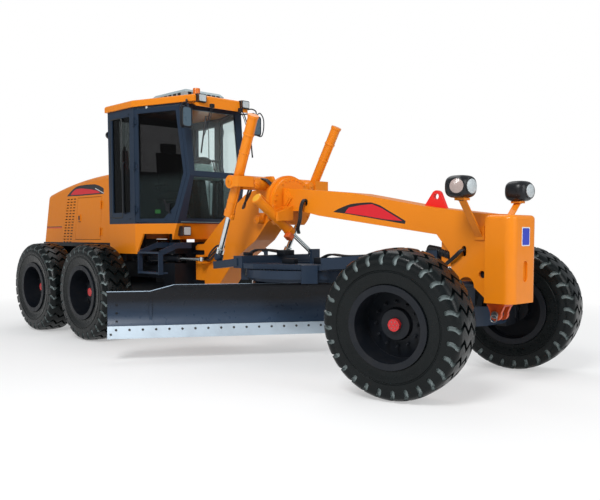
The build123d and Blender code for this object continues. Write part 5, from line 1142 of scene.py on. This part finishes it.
@dataclass
class Seat:
    """Sprung seat: pedestal with bellows, crowned cushion, tall back, head rest and arm rests."""

    middle_x: float = 1300.0
    back_lean: float = radians(-7)

    def pad(self, name: str, size: Point, matrix: np.ndarray, crown: float) -> None:
        """Makes one stuffed pad.

        A square grid (u, v) from -1 to 1 carries its top, which swells by the crown times
        (1 - u**2)(1 - v**2) and has three sewn channels pressed in across it, and its flatter
        underside. A bulging wall joins the two.
        """
        half = np.asarray(size, float) / 2
        u, v = np.meshgrid(np.linspace(-1, 1, 33), np.linspace(-1, 1, 33), indexing="ij")
        edge = np.clip((1 - u**6) * (1 - v**6), 0, 1)
        seam = np.exp(-((np.abs(v) - 0.52) / 0.035) ** 2) + 0.8 * np.exp(-((u - 0.1) / 0.03) ** 2)
        swell = crown * (1 - u**2) * (1 - v**2)
        top = half[2] * 0.55 + (half[2] * 0.45 + swell) * edge**0.5 - 7 * seam * edge
        bottom = -half[2] * (0.6 + 0.4 * edge**0.5)
        upper, lower = (np.stack([u * half[0], v * half[1], z], axis=2) for z in (top, bottom))
        rim, low_rim = (np.concatenate([face[0, :-1], face[:-1, -1], face[-1, :0:-1], face[:0:-1, 0]])
                        for face in (upper, lower))
        wall = grid(np.stack([rim, (rim + low_rim) / 2 * (1.03, 1.03, 1), low_rim]), wrap_v=True)
        shape = grid(upper) + (wall + grid(lower)).flipped()
        made = fit(name, shape.moved(matrix), SEAT_CLOTH, replaces=["seat"], sharp=radians(70))
        self.close(made)

    @staticmethod
    def close(made: bpy.types.Object) -> None:
        """Merges the pad's edge points and turns its faces outward."""
        mesh = bmesh.new()
        mesh.from_mesh(made.data)
        bmesh.ops.remove_doubles(mesh, verts=mesh.verts, dist=1e-5)
        bmesh.ops.recalc_face_normals(mesh, faces=mesh.faces)
        mesh.to_mesh(made.data)
        mesh.free()

    def build(self) -> None:
        """Makes the seat."""
        x = self.middle_x
        upright = turned(self.back_lean, "Y") @ turned(pi / 2, "Y") @ turned(pi)
        self.pad("seat_cushion", (440, 450, 110), shifted(x, 0, 2020), 26)
        self.pad("seat_back", (560, 430, 100), shifted(1085, 0, 2390) @ upright, 22)
        self.pad("seat_head_rest", (150, 250, 80), shifted(1035, 0, 2735) @ upright, 14)
        waves = [(150 + 14 * cos(7 * t * pi), 1650 + 300 * t) for t in np.linspace(0, 1, 36)]
        bellows = revolved(waves, 36).at(x - 30)
        pan = block((1080, 1500), (-210, 210), (1940, 1972), 12)
        arms = rounded_box((300, 60, 44), 18).at(1240, -262, 2190)
        posts = hose([(1110, -262, 2180), (1105, -250, 2150), (1100, -235, 2120)], 12, 10)
        rods = hose([(1065, -70, 2660), (1060, -70, 2700)], 8, 4)
        fit("seat_base", bellows + pan + both_sides(arms + posts + rods), PLASTIC, slot="seat_fabric",
            replaces=["seat"])


# ---------------------------------------------------------------- hydraulics
@dataclass
class Hydraulics:
    """Hoses, pipes, valves and end caps of the cylinders, and hoses through the beam's holes."""

    lift_top: Point = (3412.0, -635.0, 2104.0)
    lift_ball: Point = (2952.0, -565.0, 1196.0)
    side_low: Point = (3790.0, -137.0, 1493.0)
    side_high: Point = (3790.0, -640.0, 1893.0)
    hose_radius: float = 13.0

    def lift_pipes(self) -> None:
        """Feed pipe along each lift barrel with its clamps, port block and ring, and the rod's boot."""
        top, ball = np.array(self.lift_top), np.array(self.lift_ball)
        along = unit(top - ball)
        out = unit(np.cross(along, LEFTWARD))
        # the pipe's points by their place along the barrel and their distance from its middle
        pipe = hose([top + along * s - out * off
                     for s, off in ((-430, 58), (-400, 67), (300, 67), (560, 67), (600, 50))], 6.5, 40)
        clamp = revolved([(61, -9), (64, -7), (64, 7), (61, 9)], 40)
        clamps = joined([clamp.along(along, top + along * s) for s in (-250, 380)])
        port = rounded_box((52, 44, 60), 9).along(along, top - along * 432 - out * 62)
        ring = revolved([(64, 0), (67, 5), (67, 20), (64, 25)], 40).along(along, top + along * 586)
        fit_each("lift_pipe", pipe + clamps + port + ring, ORANGE, "lift_barrel")
        boot = revolved([(50, -26), (54.5, -18), (56, 10), (52, 42), (40, 58), (30, 66)], 32)
        fit_each("lift_ball_cap", boot.along(along, ball), DARK_BLUE, "lift_rod")

    def side_cylinder(self) -> None:
        """Side cylinder's pipe, its low valve and its end cap."""
        low, high = np.array(self.side_low), np.array(self.side_high)
        along = unit(high - low)
        up = np.array((0.0, along[2], -along[1]))
        pipe = hose([low + up * 52, low + along * 20 + up * 70, high - along * 40 + up * 70,
                     high + up * 48], 8, 30)
        valve = rounded_box((96, 70, 84), 10).along(along, low + along * 18 - up * 58 + (46, 0, 0))
        cap = revolved([(50, 0), (58, 3), (59, 16), (52, 24), (1, 26)], 36).along(along, high + along * 4)
        fit("side_cylinder_pipe", pipe, ORANGE, "shift_barrel")
        fit("side_cylinder_valve", valve, VALVE_RED, "shift_barrel")
        fit("side_cylinder_cap", cap, PALE_YELLOW, "shift_barrel")

    def beam_hoses(self) -> None:
        """Hoses out of the beam's side holes, beside the ring and at the rear; some on the left too."""
        r = self.hose_radius
        drops = [hose([(4099 + d, -150, 1870), (4096 + d, -196, 1880), (4070 + d, -214, 1800),
                       (4040 + d, -205, 1660), (3960 + d, -160, 1560), (3870 + d, -60, 1500)], r, 50)
                 for d in (-12, 14)]
        front = [hose([(6278 + d, -140, 1330), (6270 + d, -196, 1326), (6200 + d, -206, 1262),
                       (6080 + d, -190, 1180), (5960 + d, -120, 1120), (5900 + d, -60, 1120)], r - 1, 50)
                 for d in (-12, 12)]
        ring = [hose([(3580, -200 - d, 2070), (3500, -260 - d, 2150), (3380, -330 - d, 2120),
                      (3330, -380 - d, 1960), (3300, -430, 1860 - d), (3350, -500, 1800)], r, 50)
                for d in (0, 34)]
        rear = [hose([(2060 + d, -120, 1200), (2180 + d, -190, 1150), (2330, -230, 1190 + d),
                      (2460, -210, 1290 + d), (2560, -150, 1330)], r, 50) for d in (-40, 0, 40)]
        far = joined(front[:1] + ring + rear[:2]).moved(Side.LEFT.mirror)
        fit("beam_hoses", joined(drops + front + ring + rear + [far]), HOSE, FRONT)

    def sleeve(self, folds: int = 16, count: int = 90) -> None:
        """Folded sleeve under the beam: a tube whose radius waves along it."""
        line = smooth_path([(5800, -70, 1330), (5930, -70, 1310), (6080, -75, 1270)], count)
        normal = unit(np.cross(np.gradient(line, axis=0), LEFTWARD))
        radius = (44 + 4 * np.sin(np.linspace(0, 1, count) * 2 * pi * folds))[:, None, None]
        rings = around(line, normal, np.array(LEFTWARD), radius, 20)
        fit("hose_sleeve", skin(rings), HOSE, FRONT)

    def deck(self) -> None:
        """Valve blocks and hoses on the drawbar's deck."""
        blocks = [block((3860, 4060), (-330, -250), (1140, 1200), 8),
                  block((3500, 3640), (-90, 90), (1226, 1290), 10),
                  block((4180, 4300), (-120, 60), (1140, 1210), 8),
                  block((3300, 3400), (-460, -380), (1226, 1266), 8)]
        fit("deck_valves", joined(blocks), NEAR_BLACK, "drawbar")
        runs = [hose([(3510, y, 1262), (3430, -140 + y, 1288), (3380, -300 + y * 0.5, 1292),
                      (3350, -384 + y * 0.3, 1256)], 12, 40) for y in (-60, -20, 20, 60)]
        runs += [hose([(4240, y, 1200), (4420, y * 1.4, 1250), (4700, y * 2.0, 1240), (5100, y, 1260),
                       (5500, y * 0.6, 1290)], 11, 50) for y in (-70, -30)]
        fit("deck_hoses", joined(runs), HOSE, "drawbar")

    def build(self) -> None:
        """Makes all the pipes and hoses."""
        for make in (self.lift_pipes, self.side_cylinder, self.beam_hoses, self.sleeve, self.deck):
            make()


# ---------------------------------------------------------------- blade, beam and rear
@dataclass
class Blade:
    """Bolts of the cutting edge and the moldboard's ends, and a painted highlight as a rim on its top."""

    centre: Point = (3906.0, 0.0)
    angle: float = radians(56.8)
    shift: float = -347.0
    length: float = 3962.0
    lean: float = radians(18)
    bottom: float = 273.0
    bolt_pitch: float = 152.4
    bolt_up: float = 104.0
    corner_up: float = 52.0

    def point(self, along: float, back: float, height: float) -> np.ndarray:
        """Point from its place along the blade's middle, behind its face and above the ground."""
        x = self.centre[0] + (along + self.shift) * cos(self.angle) - back * sin(self.angle)
        y = self.centre[1] + (along + self.shift) * sin(self.angle) + back * cos(self.angle)
        return np.array([x, y, height])

    def on_edge(self, along: float, up: float) -> np.ndarray:
        """Point of the cutting edge's leaning face, so far up from its bottom."""
        return self.point(along, up * sin(self.lean), self.bottom + up * cos(self.lean))

    def build(self) -> None:
        """Makes the bolts and the rim."""
        half, angle, lean = self.length / 2, self.angle, self.lean
        heads = [self.on_edge(s, self.bolt_up) for s in np.arange(-half + 100, half - 60, self.bolt_pitch)]
        heads += [self.on_edge(s, self.corner_up) for s in (-half + 40, half - 40)]
        head = revolved([(15, -3), (15, 0.8), (13, 2.2), (6, 2.6), (6, 1.6), (0.5, 1.6)], 16)
        normal = (sin(angle) * cos(lean), -cos(angle) * cos(lean), sin(lean))
        fit("edge_bolts", repeated(head, [frame_along(normal, point) for point in heads]), CAST, "blade")
        # the end bolts follow the moldboard's curve: height and depth behind the face
        ends = [self.point(sign * (half - 105), back, z) for sign in (-1, 1)
                for z, back in ((462, 93), (560, 121), (658, 120))]
        facing = (sin(angle), -cos(angle), 0.0)
        end_bolts = repeated(head, [frame_along(facing, point) for point in ends])
        fit("moldboard_bolts", end_bolts, NEAR_BLACK, "blade")
        # pale tube along the moldboard's top edge: a painted highlight
        top = self.bottom + 610
        right = [(half - 2, top - 60), (half - 490, top - 60), (half - 765, top + 11)]
        line = [(-along, z) for along, z in right] + [(0, top + 12)] + right[::-1]
        corners = np.array([self.point(along, 6, z) for along, z in line])
        shares = np.linspace(0, 1, 8, endpoint=False)[:, None]
        path = np.concatenate([a + shares * (b - a) for a, b in zip(corners, corners[1:])])
        fit("moldboard_rim", tube(path, 5.0, 8), RIM_HIGHLIGHT_BLUE, "blade", sharp=radians(50))


@dataclass
class Fittings:
    """Bolts and lids of the ring, painted shade in the beam's holes, hood latches, tail lamps and tow pin."""

    ring_centre: Point = (3708.0, 0.0, 1856.0)
    ring_bolt_circle: float = 292.0
    plate_centre: Point = (3352.0, -206.4, 1808.0)
    latch: Point = (-566.0, -601.0, 1738.0)
    tail_y: float = -480.0
    tail_z: float = 1240.0
    tow: Point = (6582.0, 0.0, 718.0)

    def ring(self) -> None:
        """Bolts round the ring, the folded pocket beside it, the blank plate and the yokes' lids."""
        x, y, z = self.ring_centre
        turns = np.radians([*np.arange(52, 129, 12.5), 160, 172.5, 185, 197.5, -20, 20, 7.5, -5, 207, -32])
        points = [(x, y + self.ring_bolt_circle * cos(t), z + self.ring_bolt_circle * sin(t)) for t in turns]
        fit("ring_bolts", bolts(points, AHEAD, 14, 11), ORANGE, FRONT)
        wedge = [(3730, 1795), (3730, 2030), (3765, 2026), (3868, 1915), (3765, 1799)]
        cap = [(3742, 1830), (3742, 1995), (3762, 1992), (3832, 1915), (3762, 1834)]
        pocket = side_plate(wedge, (0, -160, 0), -2, 15) + side_plate(cap, (0, -174, 0), 0, 8)
        fit_both("beam_pockets", pocket, ORANGE, FRONT)
        x, y, z = self.plate_centre
        fit("ring_plate", side_plate(rounded_rectangle(42, 58, 5), (x, y, z), -1, 1.8), PLATE_WHITE, FRONT)
        strip = [(-40, 30), (40, 30), (40, 54), (-40, 54)]
        fit("ring_plate_strip", side_plate(strip, (x, y - 1.6, z), 0, 1.0), STRIPE_RED, FRONT)
        lids = [disc(centre, axis, radius, 9, 4) + bolts([np.add(centre, np.multiply(axis, 8))], axis, 15, 12)
                for centre, axis, radius in (((3561, -452, 2090), AHEAD, 46),
                                             ((3323, -267, 1665), RIGHTWARD, 36),
                                             ((3412, -743, 2104), RIGHTWARD, 54))]
        fit_both("yoke_lids", joined(lids), ORANGE, FRONT)

    def holes(self) -> None:
        """Painted shade: black plates at the bottom of the beam's side holes and on the nose's crank hole."""
        shade_plates, turn = [], circle(40)
        for x, z, radius, stretch in ((6278.0, 1319.0, 24.5, 26.0), (6482.0, 1100.0, 35.5, 0.0),
                                      (4099.0, 1855.0, 25.5, 14.0)):
            rise = radius * np.sin(turn) + np.sign(np.sin(turn) + 1e-9) * stretch
            outline = np.column_stack([x + radius * np.cos(turn), z + rise])
            shade_plates.append(side_plate(outline, (0, -100, 0), 0.5, 34))
        # black plates deep in the beam's holes: painted shade
        fit_both("hole_linings", joined(shade_plates), PLASTIC, FRONT)
        # black disc on the nose's crank hole: painted shade of its inside
        fit("crank_hole", disc((6817.5, -11, 1137), AHEAD, 12.5, 1.5), PLASTIC, FRONT)

    def hood(self) -> None:
        """Latches and locks of the side doors, and black plates behind the slots as painted shade."""
        # black plates just inside the hood's sides, behind the slots: painted shade
        fit_both("hood_baffles", block((-1180, -662), (-576, -568), (1340, 2064), 2), PLASTIC)
        x, y, z = self.latch
        case = side_plate(rounded_rectangle(36, 55, 8), (x, y, z), -2, 7)
        flap = side_plate(rounded_rectangle(20, 34, 6), (x, y - 6, z + 6), 0, 8)
        lock = disc((x, y - 6, z - 38), RIGHTWARD, 9, 4, 1)
        fit_each("hood_latch", case + flap, PLASTIC, "hood_door")
        fit_each("hood_lock", lock, BARE_STEEL, "hood_door", slot="dark_plastic")

    def rear(self) -> None:
        """Tail lamps with guards on the rear plate."""
        x = float(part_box("rear_frame")[0][0]) * 1000 - DRAWING_SHIFT_MM[0]
        y, z = self.tail_y, self.tail_z
        guards = [block((x - 46, x - 40), (y - 86, y + 86), (bar - 4, bar + 4), 2)
                  for bar in (z - 25, z, z + 25)]
        fit_both("tail_lamp_cases", rounded_box((44, 170, 96), 12).at(x - 10, y, z), PLASTIC)
        fit_both("tail_lamps_red", dome((x - 32, y - 40, z), ASTERN, (36, 36), 6), RED_LENS)
        fit_both("tail_lamps_amber", dome((x - 32, y + 40, z), ASTERN, (36, 36), 6), AMBER)
        fit_both("tail_lamp_guards", joined(guards), NEAR_BLACK)

    def tow_pin(self, ring_radius: float = 34.0) -> None:
        """Pin in the towing clevis with its ring handle."""
        x, y, z = self.tow
        pin = revolved([(1, -88), (22, -88), (23.4, -84), (23.4, 80), (34, 80), (36, 84), (36, 96), (32, 100),
                        (1, 100)], 28).along(RIGHTWARD, (x, y, z))
        turn = np.linspace(0, 2 * pi, 28)
        path = np.column_stack([x + ring_radius * np.sin(turn), np.full(28, y - 106.0),
                                z - ring_radius * (1 + np.cos(turn))])
        fit("tow_pin", pin + tube(path, 5, 8), BARE_STEEL, FRONT)

    def build(self) -> None:
        """Makes all fittings."""
        for make in (self.ring, self.holes, self.hood, self.rear, self.tow_pin):
            make()


# ---------------------------------------------------------------- studio
@dataclass
class Studio:
    """Camera, lamps and a pale floor."""

    position_mm: Point = (10290.5, -6224.5, 1484.7)
    azimuth: float = radians(45.455)
    elevation: float = radians(3.886)
    roll: float = radians(-0.07)
    sensor_mm: float = 36.0
    lens_mm: float = 44.1594
    shift: Point = (-0.0132, 0.0569833)
    floor_rings: Point = (0.01, 8, 20, 60)

    def camera(self) -> None:
        """Camera at its measured place, with its lens shifted as measured."""
        data = bpy.data.cameras.new("camera")
        data.sensor_width, data.lens = self.sensor_mm, self.lens_mm
        data.shift_x, data.shift_y = self.shift
        data.clip_end = 200
        camera = place_in_scene("camera", data)
        level = cos(self.elevation)
        aim = Vector((-sin(self.azimuth) * level, cos(self.azimuth) * level, -sin(self.elevation)))
        turn = aim.to_track_quat("-Z", "Y").to_matrix().to_4x4() @ Matrix.Rotation(self.roll, 4, "Z")
        camera.matrix_world = Matrix.Translation(Vector(drawing(self.position_mm))) @ turn
        bpy.context.scene.camera = camera

    def floor(self) -> None:
        """Wide round floor at the ground."""
        reach, turn = np.array(self.floor_rings)[:, None], circle(64)
        points = np.stack([reach * np.cos(turn), reach * np.sin(turn), 0 * reach * turn], axis=2)
        floor = mesh_object("floor", grid(points, wrap_v=True).flipped(), FLOOR_WHITE)

    def world(self) -> None:
        """Soft even light, seen as white by the camera and through glass."""
        world = bpy.data.worlds.new("studio")
        bpy.context.scene.world = world
        world.use_nodes = True
        graph = Graph(world.node_tree)
        background = graph.find("BACKGROUND")
        background.inputs["Color"].default_value = (0.86, 0.90, 0.94, 1)
        background.inputs["Strength"].default_value = 0.42
        bright = graph.add("Background", {"Color": (1, 1, 1), "Strength": 1.0}).outputs[0]
        seen = graph.seen("Is Camera Ray", "Is Transmission Ray")
        mixed = graph.add("MixShader", {0: seen, 1: background.outputs[0], 2: bright}).outputs[0]
        graph.tree.links.new(mixed, graph.find("OUTPUT_WORLD").inputs[0])

    def lamp(self, name: str, place: Point, aim: Point, size: float, power: float) -> None:
        """Square area lamp of a side in metres and a power in watts."""
        data = bpy.data.lights.new(name, "AREA")
        data.size, data.energy = size, power
        turn = (Vector(aim) - Vector(place)).to_track_quat("-Z", "Y").to_matrix().to_4x4()
        place_in_scene(name, data).matrix_world = Matrix.Translation(place) @ turn

    def build(self) -> None:
        """Sets up the whole studio."""
        bpy.context.scene.view_settings.view_transform = "Standard"
        self.camera()
        self.floor()
        self.world()
        self.lamp("key", (6, -9, 9), (0, 0, 1.2), 4, 1050)
        self.lamp("front_fill", (13, 1, 5), (0, 0, 1.5), 5, 330)
        self.lamp("top", (-3, 3, 11), (0, 0, 1), 8, 380)


# ---------------------------------------------------------------- the machine
@dataclass
class Grader:
    """The whole machine: finishes of the carried-over nodes and all added pieces."""

    frame: Frame

    def finish_nodes(self) -> None:
        """Finishes of the nodes that stay; a star stands for the left and the right one."""
        for finish, names in (
                (ORANGE, ("hood", "cab_floor", "cab_roof", "front_frame", "lamp_arms", "saddle",
                          "shift_barrel", "hood_door_*", "lift_barrel_*")),
                (DARK_BLUE, ("cab_frame", "steps", "front_axle", "lean_bar", "drawbar", "circle",
                             "blade_carrier", "cab_door_*")),
                (NEAR_BLACK, ("rear_frame", "tandem_cases", "tilt_barrel", "articulation_barrel_*", "fork_*",
                              "knuckle_*", "rim_front_*", "rim_middle_*", "rim_rear_*")),
                (CHROME, ("tilt_rod", "shift_rod", "lift_rod_*", "articulation_rod_*")),
                (GLASS, ("cab_glass",)), (DOOR_GLASS_RIGHT, ("door_glass_right",)),
                (DOOR_GLASS_LEFT, ("door_glass_left",)), (MOLDBOARD_BLUE, ("moldboard",)),
                (CAST, ("engine_block",)), (GREY_PLASTIC, ("ac_unit",)), (SEAT_CLOTH, ("seat",)),
                (PLASTIC, ("console", "head_lamps")), (LUG_RED, ("lifting_lug",)), (TOW_RED, ("tow_lug",)),
                (EDGE_STEEL, ("cutting_edge",))):
            self.frame.finish_nodes(finish, *names)

    def build(self) -> None:
        """Makes every group of pieces in order."""
        self.finish_nodes()
        for group in (Wheels(self.frame), PaintMarks(), Lamps(), Cab(), Seat(), Hydraulics(), Blade(),
                      Fittings()):
            LOG.info("building %s", type(group).__name__)
            group.build()


def main() -> None:
    """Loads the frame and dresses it."""
    logging.basicConfig(level=logging.INFO, format="%(name)s: %(message)s")
    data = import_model()
    Studio().build()
    Grader(Frame(data)).build()


if __name__ == "__main__":
    main()
